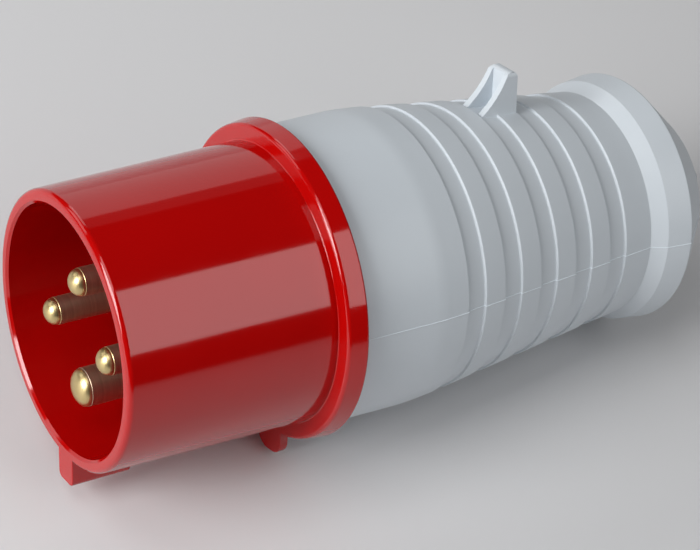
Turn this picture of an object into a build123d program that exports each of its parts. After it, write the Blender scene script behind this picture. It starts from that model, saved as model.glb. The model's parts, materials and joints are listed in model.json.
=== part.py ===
"""Industrial pin and sleeve plug, 16 A, three phases and earth, made to be wired to a flexible lead.

A red contact housing carries the sleeve, the key, the flange and the pins. It twists into a grey grip, one
hollow moulding with grip grooves, a catch for a socket's lid, a flared rim and a rear cone. A gland inside
the cone holds the lead. Millimetres. The model is built upright, with the plug axis along X, the rim
of the sleeve at x = 0, the pins pointing to -X and the key at the bottom. It is then rolled about its axis,
as it lies on a table.
"""
import os
from math import acos, asin, atan, atan2, degrees, hypot, sqrt, tan

from build123d import *

# Sleeve and its key
sleeve_d = 50.0
sleeve_wall = 2.45
sleeve_draft = 0.9
sleeve_reach = 39.55
rim_round = 0.5
root_round = 1.2
key_width = 5.4
key_height = 4.8
key_length = 11.4
key_round = 1.2

# Flange and its tab
flange_rim = 3.9
flange_flare = 0.6
flange_thickness = 4.0
flange_round = 0.8
tab_width = 8.4
tab_height = 4.3
tab_thickness = 1.7
tab_round = 3.4
tab_turn = 6.0

# Contact floor, spigot and bayonet
floor_setback = 1.7
floor_thickness = 6.0
spigot_length = 9.5
spigot_wall = 2.3
spigot_gap = 0.3
bayonet_count = 3
bayonet_height = 0.9
bayonet_width = 6.0
bayonet_length = 2.4
bayonet_run = 26.0

# Pins: three phases at 12, 3 and 9 o'clock, earth at 6 o'clock beside the key
phase_pin_d = 5.0
earth_pin_d = 7.0
phase_tip_x = 1.2
earth_tip_x = 0.5
pin_circle_d = 20.6
pin_circle_drop = 1.5
shoulder_step = 0.3
shoulder_lead = 0.3
collar_step = 1.4
collar_thickness = 1.8
terminal_wall = 1.35
terminal_length = 15.0
phase_wire_d = 4.2
earth_wire_d = 5.0
wire_depth = 11.0
pin_gap = 0.05

# Pin carrier and its screws
carrier_thickness = 4.5
carrier_gap = 0.3
shroud_wall = 1.7
shroud_gap = 0.1
shroud_overhang = 1.2
carrier_screw_d = 2.9
carrier_screw_length = 9.0
carrier_screw_inset = 4.2
carrier_screw_angles = (45.0, 225.0)

# Terminal screws and wire guards
terminal_screw_d = 3.5
terminal_head_d = 5.4
terminal_head_height = 1.8
terminal_screw_back = 5.0
terminal_screw_rise = 0.25
screw_slot = 0.8
guard_width = 2.6
guard_length = 6.0
guard_thickness = 0.5
guard_gap = 0.05

# Grip: barrel, grooved taper, waist, flared rim and rear cone
grip_face_gap = 0.15
grip_step = 2.38
barrel_length = 16.2
barrel_draft = 0.28
crease_round = 30.0
first_land = 5.8
first_land_fall = 0.45
groove_count = 5
groove_pitch = 8.59
groove_width = 3.92
groove_depth = 0.45
taper_slope = 0.118
last_land = 6.5
waist_flare = 2.9
rim_height = 1.6
rim_flare = 0.67
rim_width = 5.05
cone_length = 9.0
tail_wall = 2.6
grip_wall = 2.4
edge_round = 0.4

# Gland tube inside the grip's rear end
thread_d = 26.0
tube_wall = 2.2
tube_length = 23.0
shoulder_thickness = 2.0
shoulder_hole_d = 19.0
tube_rib_count = 8
tube_rib_thickness = 1.6
tube_rib_length = 10.0

# Lid catch on top of the grip, in the groove with this number
catch_groove = 3
catch_width = 5.8
catch_draft = 0.35
catch_back = 0.7
catch_length = 7.57
catch_cap_length = 2.15
catch_front_height = 7.3
catch_rear_height = 7.35
catch_ramp_sag = 0.6
catch_wall = 1.0
catch_rear_wall = 2.1
catch_round = 0.8

# Gland pieces
gland_gap = 0.3
seal_gap = 0.1
seal_length = 8.0
seal_hole_d = 11.0
seal_groove = 0.9
seal_groove_count = 3
claw_length = 5.0
claw_hole_d = 16.0
claw_count = 12
claw_slot = 1.2
claw_base = 1.6
washer_thickness = 1.2
nut_hole_d = 15.0
nut_flats = 20.5
nut_hex_length = 3.6
nut_hex_gap = 0.3
nut_round = 0.8

# Flange gasket
gasket_width = 1.9
gasket_thickness = 1.25
gasket_gap = 0.1

# How far a cutting shape runs past the face that it cuts
overcut = 1.0

# Sizes that follow from the ones above
sleeve_r = sleeve_d / 2
root_r = sleeve_r + sleeve_draft
bore_r = sleeve_r - sleeve_wall
socket_depth = sleeve_reach - floor_setback
flange_r = sleeve_r + flange_rim
flange_rear_r = flange_r + flange_flare
flange_rear_x = sleeve_reach + flange_thickness
floor_rear_x = socket_depth + floor_thickness
spigot_end_x = flange_rear_x + spigot_length
grip_face_x = flange_rear_x + grip_face_gap
grip_face_r = sleeve_r + grip_step
crease_x = grip_face_x + barrel_length
crease_r = grip_face_r + barrel_draft
groove_start_x = crease_x + first_land
waist_x = groove_start_x + (groove_count - 1) * groove_pitch + groove_width + last_land
rim_front_x = waist_x + waist_flare
rim_rear_x = rim_front_x + rim_width
tail_x = rim_rear_x + cone_length
thread_r = thread_d / 2
tail_r = thread_r + tail_wall
tube_r = thread_r + tube_wall
tube_front_x = tail_x - tube_length
spigot_r = grip_face_r - grip_wall - bayonet_height - spigot_gap
grip_bore_r = spigot_r + spigot_gap
terminal_end_x = floor_rear_x + terminal_length
carrier_r = spigot_r - spigot_wall - carrier_gap
carrier_rear_x = floor_rear_x + carrier_thickness
carrier_screw_r = carrier_r - carrier_screw_inset
shroud_end_x = terminal_end_x + shroud_overhang
pin_circle_r = pin_circle_d / 2


def grip_taper_r(x):
    """Radius of the grip's grooved taper, on its lands."""
    return crease_r - first_land_fall - taper_slope * (x - groove_start_x)


waist_r = grip_taper_r(waist_x)
rim_front_r = waist_r + rim_height
rim_rear_r = rim_front_r + rim_flare
hollow_r = waist_r - grip_wall

# How the plug lies: on the flange and the rear rim, rolled until a corner of the tab meets the table too
lying_pitch = atan((flange_rear_r - rim_rear_r) / (rim_rear_x - flange_rear_x))
tab_reach = flange_r + tab_height
corner_out = tab_reach - tab_round
corner_side = tab_width / 2 - tab_round
table_at_tab = flange_rear_r + (flange_thickness - tab_thickness) * tan(lying_pitch)
corner_swing = degrees(acos((table_at_tab - tab_round) / hypot(corner_out, corner_side)))
lying_roll = corner_swing + degrees(atan2(corner_side, corner_out)) - tab_turn


def section(points, rounds=()):
    """Closed flat outline through (x, radius) points, with the named corners rounded."""
    face = make_face(Polyline(*points, close=True))
    for point, radius in rounds:
        corner = face.vertices().sort_by_distance((*point, 0))[0]
        face = fillet(corner, radius)
    return face


def turned(points, rounds=()):
    """Solid of revolution about the plug axis."""
    return revolve(section(points, rounds), axis=Axis.X)


def tube(x0, x1, outer_r, inner_r=0.0):
    """Plain ring or disc about the plug axis."""
    return turned([(x0, inner_r), (x1, inner_r), (x1, outer_r), (x0, outer_r)])


def rod(x0, x1, radius):
    """Cylinder about the plug axis."""
    return Pos((x0 + x1) / 2, 0, 0) * Rot(0, 90, 0) * Cylinder(radius, x1 - x0)


def beam(x0, x1, width, z0, z1):
    """Bar along X, centred on the Y axis."""
    return Pos((x0 + x1) / 2, 0, (z0 + z1) / 2) * Box(x1 - x0, width, z1 - z0)


def spun(angle, part):
    """Turn a part about the plug axis: 0 is 12 o'clock, positive runs towards the +Y side."""
    return Rot(-angle, 0, 0) * part


def ring_of(count, part, first=0.0):
    """Even pattern of a part about the plug axis."""
    return [spun(first + 360.0 * i / count, part) for i in range(count)]


def at_pin(angle, part):
    """Move a part from the plug axis to the pin at a clock angle, still facing outwards."""
    return Pos(0, 0, -pin_circle_drop) * spun(angle, Pos(0, 0, pin_circle_r) * part)


class PinKind:
    """Sizes of one kind of pin, worked out from its diameter."""

    def __init__(self, pin_d, tip_x, wire_d):
        self.r = pin_d / 2
        self.tip_x = tip_x
        self.wire_r = wire_d / 2
        self.shoulder_r = self.r + shoulder_step
        self.collar_r = self.r + collar_step
        self.terminal_r = self.wire_r + terminal_wall
        self.shroud_r = self.terminal_r + shroud_gap + shroud_wall
        self.guard_top = sqrt(self.wire_r ** 2 - (guard_width / 2) ** 2) - guard_gap
        self.head_base = self.terminal_r + terminal_screw_rise


phase = PinKind(phase_pin_d, phase_tip_x, phase_wire_d)
earth = PinKind(earth_pin_d, earth_tip_x, earth_wire_d)
places = {
    "phase_1": (phase, 0.0),
    "phase_2": (phase, 90.0),
    "phase_3": (phase, 270.0),
    "earth": (earth, 180.0),
}
screw_x = terminal_end_x - terminal_screw_back


def grip_outline():
    """Outside of the grip, from its front face to its tail, as (x, radius) points."""
    points = [(crease_x, crease_r), (groove_start_x, grip_taper_r(groove_start_x))]
    for i in range(groove_count):
        front = groove_start_x + i * groove_pitch
        rear = front + groove_width
        points += [
            (front, grip_taper_r(front) - groove_depth),
            (rear, grip_taper_r(rear) - groove_depth),
            (rear, grip_taper_r(rear)),
        ]
        land_end = front + groove_pitch if i < groove_count - 1 else waist_x
        points.append((land_end, grip_taper_r(land_end)))
    points += [(rim_front_x, rim_front_r), (rim_rear_x, rim_rear_r), (tail_x, tail_r)]
    return points


def make_contact_housing():
    """Red moulding: sleeve, key, flange, tab, contact floor and spigot, with pin seats in the floor."""
    spigot_bore_r = spigot_r - spigot_wall
    rim = [(0, bore_r), (0, sleeve_r)]
    root = (sleeve_reach, root_r)
    shell = turned(
        [
            *rim,
            root,
            (sleeve_reach, flange_r),
            (flange_rear_x, flange_rear_r),
            (flange_rear_x, spigot_r),
            (spigot_end_x, spigot_r),
            (spigot_end_x, spigot_bore_r),
            (floor_rear_x, spigot_bore_r),
            (floor_rear_x, 0),
            (socket_depth, 0),
            (socket_depth, bore_r),
        ],
        [(rim[0], rim_round), (rim[1], rim_round), (root, root_round)]
        + [((sleeve_reach, flange_r), flange_round), ((flange_rear_x, flange_rear_r), edge_round)],
    )
    key = beam(0, key_length, key_width, -sleeve_r - key_height, -sleeve_r + sleeve_wall / 2)
    key = fillet(key.edges().filter_by(Axis.X).group_by(Axis.Z)[0], key_round)
    tab = beam(sleeve_reach, sleeve_reach + tab_thickness, tab_width, -tab_reach, -sleeve_r)
    tab = fillet(tab.edges().filter_by(Axis.X).group_by(Axis.Z)[0], tab_round)
    housing = shell + key + spun(tab_turn, tab)
    bayonet_x = spigot_end_x - bayonet_length
    bayonet_foot = spigot_r - spigot_wall / 2
    bayonet = beam(bayonet_x, spigot_end_x, bayonet_width, bayonet_foot, spigot_r + bayonet_height)
    for lug in ring_of(bayonet_count, bayonet):
        housing += lug
    for kind, angle in places.values():
        hole_r = kind.shoulder_r + pin_gap
        housing -= at_pin(angle, rod(socket_depth - overcut, floor_rear_x + overcut, hole_r))
        seat_x = floor_rear_x - collar_thickness
        housing -= at_pin(angle, rod(seat_x, floor_rear_x + overcut, kind.collar_r + pin_gap))
    pilot_r = carrier_screw_d / 2
    pilot_x = carrier_rear_x - carrier_screw_length
    for angle in carrier_screw_angles:
        pilot = Pos(0, 0, carrier_screw_r) * rod(pilot_x, floor_rear_x + overcut, pilot_r)
        housing -= spun(angle, pilot)
    return housing


def make_pin(kind, angle):
    """Turned brass pin: domed tip, shoulder in the floor, collar held behind it, terminal with a wire hole."""
    shoulder_x = socket_depth - shoulder_lead
    seat_x = floor_rear_x - collar_thickness + pin_gap
    outline = section(
        [
            (kind.tip_x, 0),
            (kind.tip_x, kind.r),
            (shoulder_x, kind.r),
            (shoulder_x, kind.shoulder_r),
            (seat_x, kind.shoulder_r),
            (seat_x, kind.collar_r),
            (floor_rear_x, kind.collar_r),
            (floor_rear_x, kind.terminal_r),
            (terminal_end_x, kind.terminal_r),
            (terminal_end_x, kind.wire_r),
            (terminal_end_x - wire_depth, kind.wire_r),
            (terminal_end_x - wire_depth, 0),
        ],
        [((kind.tip_x, kind.r), kind.r - pin_gap)],
    )
    pin = revolve(outline, axis=Axis.X)
    pin -= Pos(screw_x, 0, kind.terminal_r) * Cylinder(terminal_screw_d / 2, 2 * kind.terminal_r)
    return at_pin(angle, pin)


def make_terminal_screw(kind, angle):
    """Slotted terminal screw, facing out from the plug axis, its tip on the wire guard."""
    head = Pos(screw_x, 0, kind.head_base + terminal_head_height / 2)
    screw = head * Cylinder(terminal_head_d / 2, terminal_head_height)
    shank_r = terminal_screw_d / 2 - pin_gap
    shank_length = kind.head_base - kind.guard_top
    screw += Pos(screw_x, 0, kind.guard_top + shank_length / 2) * Cylinder(shank_r, shank_length)
    slot_z = kind.head_base + terminal_head_height
    screw -= Pos(screw_x, 0, slot_z) * Box(terminal_head_d + overcut, screw_slot, terminal_head_height)
    return at_pin(angle, screw)


def make_wire_guard(kind, angle):
    """Small plate that keeps the screw off the strands of the wire."""
    plate = Box(guard_length, guard_width, guard_thickness)
    return at_pin(angle, Pos(screw_x, 0, kind.guard_top - guard_thickness / 2) * plate)


def make_pin_carrier():
    """Moulded block behind the floor: a disc on the pin collars and a shroud round each terminal."""
    carrier = rod(floor_rear_x, carrier_rear_x, carrier_r)
    for kind, angle in places.values():
        carrier += at_pin(angle, rod(floor_rear_x, shroud_end_x, kind.shroud_r))
    for kind, angle in places.values():
        inside = rod(floor_rear_x - overcut, shroud_end_x + overcut, kind.terminal_r + shroud_gap)
        carrier -= at_pin(angle, inside)
        window_r = terminal_head_d / 2 + carrier_gap
        carrier -= at_pin(angle, Pos(screw_x, 0, kind.shroud_r) * Cylinder(window_r, 2 * kind.shroud_r))
    hole_r = carrier_screw_d / 2 + shroud_gap
    for angle in carrier_screw_angles:
        hole = rod(floor_rear_x - overcut, carrier_rear_x + overcut, hole_r)
        carrier -= spun(angle, Pos(0, 0, carrier_screw_r) * hole)
    return carrier


def make_carrier_screw(angle):
    """Self-tapping screw with a domed head, from the carrier's rear face into the floor."""
    shank_r = carrier_screw_d / 2 - pin_gap
    head_r = 2 * shank_r
    head_height = shank_r
    point = (carrier_rear_x + head_height, head_r)
    screw = turned(
        [
            (carrier_rear_x - carrier_screw_length + pin_gap, 0),
            (carrier_rear_x - carrier_screw_length + pin_gap, shank_r),
            (carrier_rear_x, shank_r),
            (carrier_rear_x, head_r),
            point,
            (carrier_rear_x + head_height, 0),
        ],
        [(point, head_height / 2)],
    )
    cross = Pos(carrier_rear_x + head_height, 0, 0) * Box(head_height, screw_slot, head_r)
    screw -= cross + Rot(90, 0, 0) * cross
    return spun(angle, Pos(0, 0, carrier_screw_r) * screw)


def make_flange_gasket():
    """Flat sealing ring in a step at the mouth of the grip."""
    inner_r = spigot_r + gasket_gap
    face_x = flange_rear_x + pin_gap
    return tube(face_x, face_x + gasket_thickness, inner_r + gasket_width, inner_r)


def make_grip_shell():
    """Grip turned in one: outside, hollow, gland tube, shoulder and the gasket's step."""
    front = (grip_face_x, grip_face_r)
    cone_slope = (rim_rear_r - tail_r) / cone_length
    cone_inner_r = rim_rear_r - grip_wall * hypot(1, cone_slope)
    cone_top_x = rim_rear_x + (cone_inner_r - hollow_r) / cone_slope
    cone_foot_x = rim_rear_x + (cone_inner_r - tube_r) / cone_slope
    shoulder_x = tube_front_x + shoulder_thickness
    step_r = spigot_r + 2 * gasket_gap + gasket_width
    step_x = flange_rear_x + gasket_thickness + gasket_gap
    inside = [
        (tail_x, thread_r),
        (shoulder_x, thread_r),
        (shoulder_x, shoulder_hole_d / 2),
        (tube_front_x, shoulder_hole_d / 2),
        (tube_front_x, tube_r),
        (cone_foot_x, tube_r),
        (cone_top_x, hollow_r),
        (waist_x, hollow_r),
        (groove_start_x, grip_taper_r(groove_start_x) - groove_depth - grip_wall),
        (spigot_end_x + spigot_gap, grip_bore_r),
        (step_x, grip_bore_r),
        (step_x, step_r),
        (grip_face_x, step_r),
        front,
    ]
    corners = (front, (rim_front_x, rim_front_r), (rim_rear_x, rim_rear_r), (tail_x, tail_r))
    rounds = [((crease_x, crease_r), crease_round)] + [(corner, edge_round) for corner in corners]
    return turned([*grip_outline(), *inside], rounds)


def make_catch():
    """Catch that a socket's spring lid hooks on: two ramped walls with a pocket between them, wider at the foot."""
    foot_x = groove_start_x + (catch_groove - 1) * groove_pitch + catch_back
    foot_z = grip_taper_r(foot_x) - groove_depth
    rear_x = foot_x + catch_length
    sunk_z = foot_z - grip_wall / 2
    ramp_foot = (foot_x, foot_z)
    ramp_top = (rear_x - catch_cap_length, foot_z + catch_front_height)
    cap_rear = (rear_x, foot_z + catch_rear_height)
    ramp_x = ramp_top[0] - foot_x
    ramp_z = ramp_top[1] - foot_z
    sag = catch_ramp_sag / hypot(ramp_x, ramp_z)
    middle = (foot_x + ramp_x / 2 + sag * ramp_z, foot_z + ramp_z / 2 - sag * ramp_x)
    ramp = Plane.XZ * ThreePointArc(ramp_foot, middle, ramp_top)
    sides = Plane.XZ * Polyline(ramp_top, cap_rear, (rear_x, sunk_z), (foot_x, sunk_z), ramp_foot)
    profile = make_face([*ramp.edges(), *sides.edges()])
    top_y = catch_width / 2
    foot_y = top_y + catch_draft
    front_view = make_face(
        Polyline((-top_y, cap_rear[1]), (top_y, cap_rear[1]), (foot_y, sunk_z), (-foot_y, sunk_z), close=True)
    )
    front_view = Plane.YZ.offset(foot_x) * front_view
    catch = extrude(profile, amount=foot_y, both=True) & extrude(front_view, amount=catch_length)
    cap_edges = catch.edges().filter_by(GeomType.LINE).sort_by(Axis.Z)[-4:]
    catch = fillet(cap_edges, catch_round)
    pocket_width = catch_width - 2 * catch_wall
    pocket = beam(foot_x - overcut, rear_x - catch_rear_wall, pocket_width, sunk_z, cap_rear[1] + overcut)
    return catch - pocket


def make_bayonet_tracks():
    """Three L-shaped tracks in the mouth of the grip, for the spigot's bayonet lugs."""
    track_r = spigot_r + bayonet_height + spigot_gap
    lug_x = spigot_end_x - bayonet_length - spigot_gap
    half_angle = degrees(asin(bayonet_width / 2 / spigot_r)) + degrees(spigot_gap / spigot_r)
    tracks = []
    for i in range(bayonet_count):
        entry_angle = 360.0 * i / bayonet_count + bayonet_run
        stretches = ((grip_face_x - overcut, lug_x, 0.0), (lug_x, spigot_end_x + spigot_gap, bayonet_run))
        for x0, x1, extra_angle in stretches:
            cut = section([(x0, 0), (x1, 0), (x1, track_r), (x0, track_r)])
            cut = revolve(cut, axis=Axis.X, revolution_arc=2 * half_angle + extra_angle)
            tracks.append(Rot(90 - entry_angle - half_angle, 0, 0) * cut)
    return tracks


def make_grip():
    """Grey moulding: shell, catch, bayonet tracks and the ribs that hold the gland tube in the flare."""
    grip = make_grip_shell() + make_catch()
    for track in make_bayonet_tracks():
        grip -= track
    rib_x = rim_rear_x - tube_rib_length
    rib = beam(rib_x, rim_rear_x, tube_rib_thickness, tube_r - tube_wall / 2, hollow_r + grip_wall / 2)
    for item in ring_of(tube_rib_count, rib, 180.0 / tube_rib_count):
        grip += item
    return grip


def make_cable_seal():
    """Rubber seal with grooves in its hole, so that it closes on the lead when the gland nut presses it."""
    front_x = tube_front_x + shoulder_thickness + pin_gap
    rear_x = front_x + seal_length
    outer_r = thread_r - seal_gap
    hole_r = seal_hole_d / 2
    seal = turned(
        [(front_x, hole_r), (rear_x, hole_r), (rear_x, outer_r), (front_x, outer_r)],
        [((rear_x, hole_r), seal_groove), ((front_x, hole_r), seal_groove)],
    )
    pitch = seal_length / (seal_groove_count + 1)
    for i in range(seal_groove_count):
        groove_x = front_x + (i + 1) * pitch
        seal -= tube(groove_x - seal_groove / 2, groove_x + seal_groove / 2, hole_r + seal_groove, 0)
    return seal


seal_rear_x = tube_front_x + shoulder_thickness + pin_gap + seal_length
claw_front_x = seal_rear_x + pin_gap
claw_rear_x = claw_front_x + claw_length
washer_front_x = claw_rear_x + gland_gap
nut_front_x = washer_front_x + washer_thickness + gland_gap
nut_hex_x = tail_x + nut_hex_gap


def make_claw_ring():
    """Slotted ring whose fingers close on the lead."""
    claws = tube(claw_front_x, claw_rear_x, thread_r - seal_gap, claw_hole_d / 2)
    slot_depth = claw_length - claw_base
    cut = beam(claw_front_x - overcut, claw_front_x + slot_depth, claw_slot, 0, thread_r + overcut)
    for slot in ring_of(claw_count, cut):
        claws -= slot
    return claws


def make_thrust_washer():
    """Flat washer that the gland nut pushes and that doesn't turn with it."""
    return tube(washer_front_x, washer_front_x + washer_thickness, thread_r - gland_gap, claw_hole_d / 2)


def make_gland_nut():
    """Gland nut: a plain-bodied screw with a hexagon end that stands out of the grip's tail."""
    hole_r = nut_hole_d / 2
    hex_end_x = nut_hex_x + nut_hex_length
    body = tube(nut_front_x, nut_hex_x, thread_r - gland_gap, hole_r)
    hexagon = extrude(RegularPolygon(nut_flats / sqrt(3), 6), nut_hex_length)
    hexagon = Pos(nut_hex_x, 0, 0) * Rot(0, 90, 0) * hexagon
    corner_r = nut_flats / sqrt(3)
    bevel = turned(
        [
            (nut_hex_x - overcut, 0),
            (nut_hex_x - overcut, corner_r + overcut),
            (hex_end_x - nut_round, corner_r + overcut),
            (hex_end_x - nut_round, corner_r),
            (hex_end_x, nut_flats / 2),
            (hex_end_x, 0),
        ]
    )
    nut = body + (hexagon & bevel)
    nut -= rod(nut_hex_x - overcut, hex_end_x + overcut, hole_r)
    return nut


pieces = {
    "contact_housing": make_contact_housing(),
    "pin_carrier": make_pin_carrier(),
    "flange_gasket": make_flange_gasket(),
    "grip": make_grip(),
    "cable_seal": make_cable_seal(),
    "claw_ring": make_claw_ring(),
    "thrust_washer": make_thrust_washer(),
    "gland_nut": make_gland_nut(),
}
for place, (kind, angle) in places.items():
    pieces[f"{place}_pin"] = make_pin(kind, angle)
    pieces[f"{place}_terminal_screw"] = make_terminal_screw(kind, angle)
    pieces[f"{place}_wire_guard"] = make_wire_guard(kind, angle)
for number, angle in enumerate(carrier_screw_angles, 1):
    pieces[f"carrier_screw_{number}"] = make_carrier_screw(angle)

os.makedirs("parts", exist_ok=True)
for name, piece in pieces.items():
    lying = Rot(-lying_roll, 0, 0) * piece
    lying.label = name
    export_step(lying, f"parts/{name}.step")
print("lying roll", round(lying_roll, 3), "lying pitch", round(degrees(lying_pitch), 3))
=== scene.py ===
"""Industrial pin and sleeve plug lying on a pale table: a gloss red contact housing with four brass pins, a
satin grey grip with grip grooves and a lid catch, and the gland pieces at its rear end.

Every piece is drawn in the plug's own upright frame, with the plug axis along X, the rim of the sleeve at
x = 0 and the key at the bottom, and is then rolled about the axis as the plug lies.
"""
import json
from contextlib import contextmanager
from functools import cache
from math import atan2, ceil, cos, hypot, pi, radians, sin, sqrt, tan

import bmesh
import bpy
from bpy.props import FloatProperty, FloatVectorProperty, IntProperty, PointerProperty
from mathutils import Matrix, Vector


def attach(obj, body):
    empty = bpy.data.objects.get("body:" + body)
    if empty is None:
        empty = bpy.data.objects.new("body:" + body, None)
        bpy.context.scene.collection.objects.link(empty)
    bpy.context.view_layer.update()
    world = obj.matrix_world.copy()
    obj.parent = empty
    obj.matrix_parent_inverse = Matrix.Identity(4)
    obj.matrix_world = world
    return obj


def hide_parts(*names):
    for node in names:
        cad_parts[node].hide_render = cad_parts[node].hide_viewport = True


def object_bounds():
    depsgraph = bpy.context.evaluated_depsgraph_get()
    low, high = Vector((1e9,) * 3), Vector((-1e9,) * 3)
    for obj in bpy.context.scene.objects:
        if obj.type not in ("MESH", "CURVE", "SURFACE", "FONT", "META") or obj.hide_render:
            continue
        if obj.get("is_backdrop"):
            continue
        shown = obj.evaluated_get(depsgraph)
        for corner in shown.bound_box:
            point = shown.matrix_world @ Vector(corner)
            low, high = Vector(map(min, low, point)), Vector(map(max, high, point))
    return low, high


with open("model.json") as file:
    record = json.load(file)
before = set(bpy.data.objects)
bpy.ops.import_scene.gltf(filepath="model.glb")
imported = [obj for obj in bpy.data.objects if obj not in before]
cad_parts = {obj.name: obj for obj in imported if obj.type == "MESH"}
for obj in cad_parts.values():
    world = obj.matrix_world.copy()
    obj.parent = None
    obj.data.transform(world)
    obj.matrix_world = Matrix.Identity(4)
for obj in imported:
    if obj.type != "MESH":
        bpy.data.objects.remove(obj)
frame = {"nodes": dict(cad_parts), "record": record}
CAD_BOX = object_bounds()

bl_info = {
    "name": "Pin and Sleeve Plug",
    "version": (1, 0, 0),
    "blender": (4, 5, 0),
    "location": "3D View > Sidebar > Plug",
    "description": "Builds an industrial pin and sleeve plug and the table it lies on",
    "category": "Object",
}

MM = 0.001
OVERCUT = 1.0 * MM  # how far a tool reaches past the surface that it cuts
HAIR = 0.02 * MM  # keeps two faces from lying in one plane
WELD = 0.0001 * MM  # points nearer than this are one point
SHARP_ANGLE = radians(38)  # a sharper edge stays crisp
ARC_STEP = radians(15)  # longest step along a round of an outline
ARC_STEPS_MIN = 3
BEVEL_STEPS = 3
CAP_STEPS = 6
RAMP_STEPS = 12
DOME_STEPS = 24
SIDES = {"grip": 288, "housing": 256, "gland": 160, "nut": 128, "pin": 96, "hole": 64, "screw": 48}
SCREW_THREAD_STEPS = 24
NUT_THREAD_STEPS = 96


def mount(name):
    """A mount of the packed record."""
    return next(m for m in frame["record"]["mounts"] if m["name"] == name)


EARTH = Vector(mount("earth_contact")["pos_m"])
LYING = Matrix.Rotation(atan2(EARTH.y, -EARTH.z), 4, "X")
PIN_ANGLES = {"phase_1": 0.0, "phase_2": 90.0, "phase_3": 270.0, "earth": 180.0}


# Sizes and colours that a user may change

def length(name, description, default):
    """A length property, given in millimetres."""
    return FloatProperty(
        name=name, description=description, default=default * MM, min=0.0, unit="LENGTH", precision=5
    )


def count(name, description, default, low=1):
    """A whole number."""
    return IntProperty(name=name, description=description, default=default, min=low)


def share(name, description, default, high=1.0):
    """A plain number from 0 up to its highest value."""
    return FloatProperty(name=name, description=description, default=default, min=0.0, max=high)


def turn(name, description, default):
    """An angle property, given in degrees."""
    return FloatProperty(
        name=name, description=description, default=radians(default), min=-pi, max=pi, subtype="ANGLE"
    )


def colour(name, description, default):
    """A colour property."""
    return FloatVectorProperty(
        name=name, description=description, default=default, subtype="COLOR", size=3, min=0.0, max=1.0
    )


class HousingSizes(bpy.types.PropertyGroup):
    """Red contact housing: sleeve, key, flange, tab, contact floor and spigot."""

    sleeve_r: length("Sleeve radius", "Outside radius of the sleeve", 25.0)
    draft: length("Sleeve draft", "How much the sleeve widens towards the flange", 0.9)
    wall: length("Sleeve wall", "Thickness of the sleeve's wall at the rim", 2.45)
    reach: length("Sleeve reach", "Length of the sleeve in front of the flange", 39.55)
    rim_round: length("Rim round", "Round on the rim's outer edge", 1.05)
    rim_chamfer: length("Rim chamfer", "Chamfer on the rim's inner edge", 0.45)
    root_round: length("Root round", "Fillet between the sleeve and the flange", 0.2)
    key_width: length("Key width", "Width of the key at 6 o'clock", 5.4)
    key_height: length("Key height", "How far the key stands out of the sleeve", 4.8)
    key_length: length("Key length", "Length of the key from the rim", 11.4)
    key_round: length("Key round", "Round on the key's long edges", 1.2)
    flange_r: length("Flange radius", "Radius of the flange's front face", 28.9)
    flange_rear_r: length("Flange rear radius", "Radius of the flange at the grip", 29.5)
    flange_thickness: length("Flange thickness", "Thickness of the flange", 4.0)
    flange_round: length("Flange round", "Round on the flange's front edge", 0.8)
    tab_width: length("Tab width", "Width of the tab under the flange", 8.4)
    tab_height: length("Tab height", "How far the tab stands out of the flange", 4.3)
    tab_thickness: length("Tab thickness", "Thickness of the tab", 1.7)
    tab_round: length("Tab round", "Round on the tab's corners", 3.4)
    tab_turn: turn("Tab turn", "Angle between the tab and the key", 6.0)
    floor_x: length("Floor depth", "Depth of the socket space from the rim", 37.85)
    floor_thickness: length("Floor thickness", "Thickness of the contact floor", 6.0)
    spigot_r: length("Spigot radius", "Outside radius of the spigot inside the grip", 23.78)
    spigot_wall: length("Spigot wall", "Thickness of the spigot's wall", 2.3)
    spigot_length: length("Spigot length", "Length of the spigot behind the flange", 9.5)
    lug_count: count("Bayonet lugs", "Lugs round the spigot", 3)
    lug_width: length("Lug width", "Width of a bayonet lug", 6.0)
    lug_length: length("Lug length", "Length of a bayonet lug along the axis", 2.4)
    lug_height: length("Lug height", "How far a bayonet lug stands out", 0.9)
    edge_round: length("Edge round", "Round on the flange's rear edge", 0.4)


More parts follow.
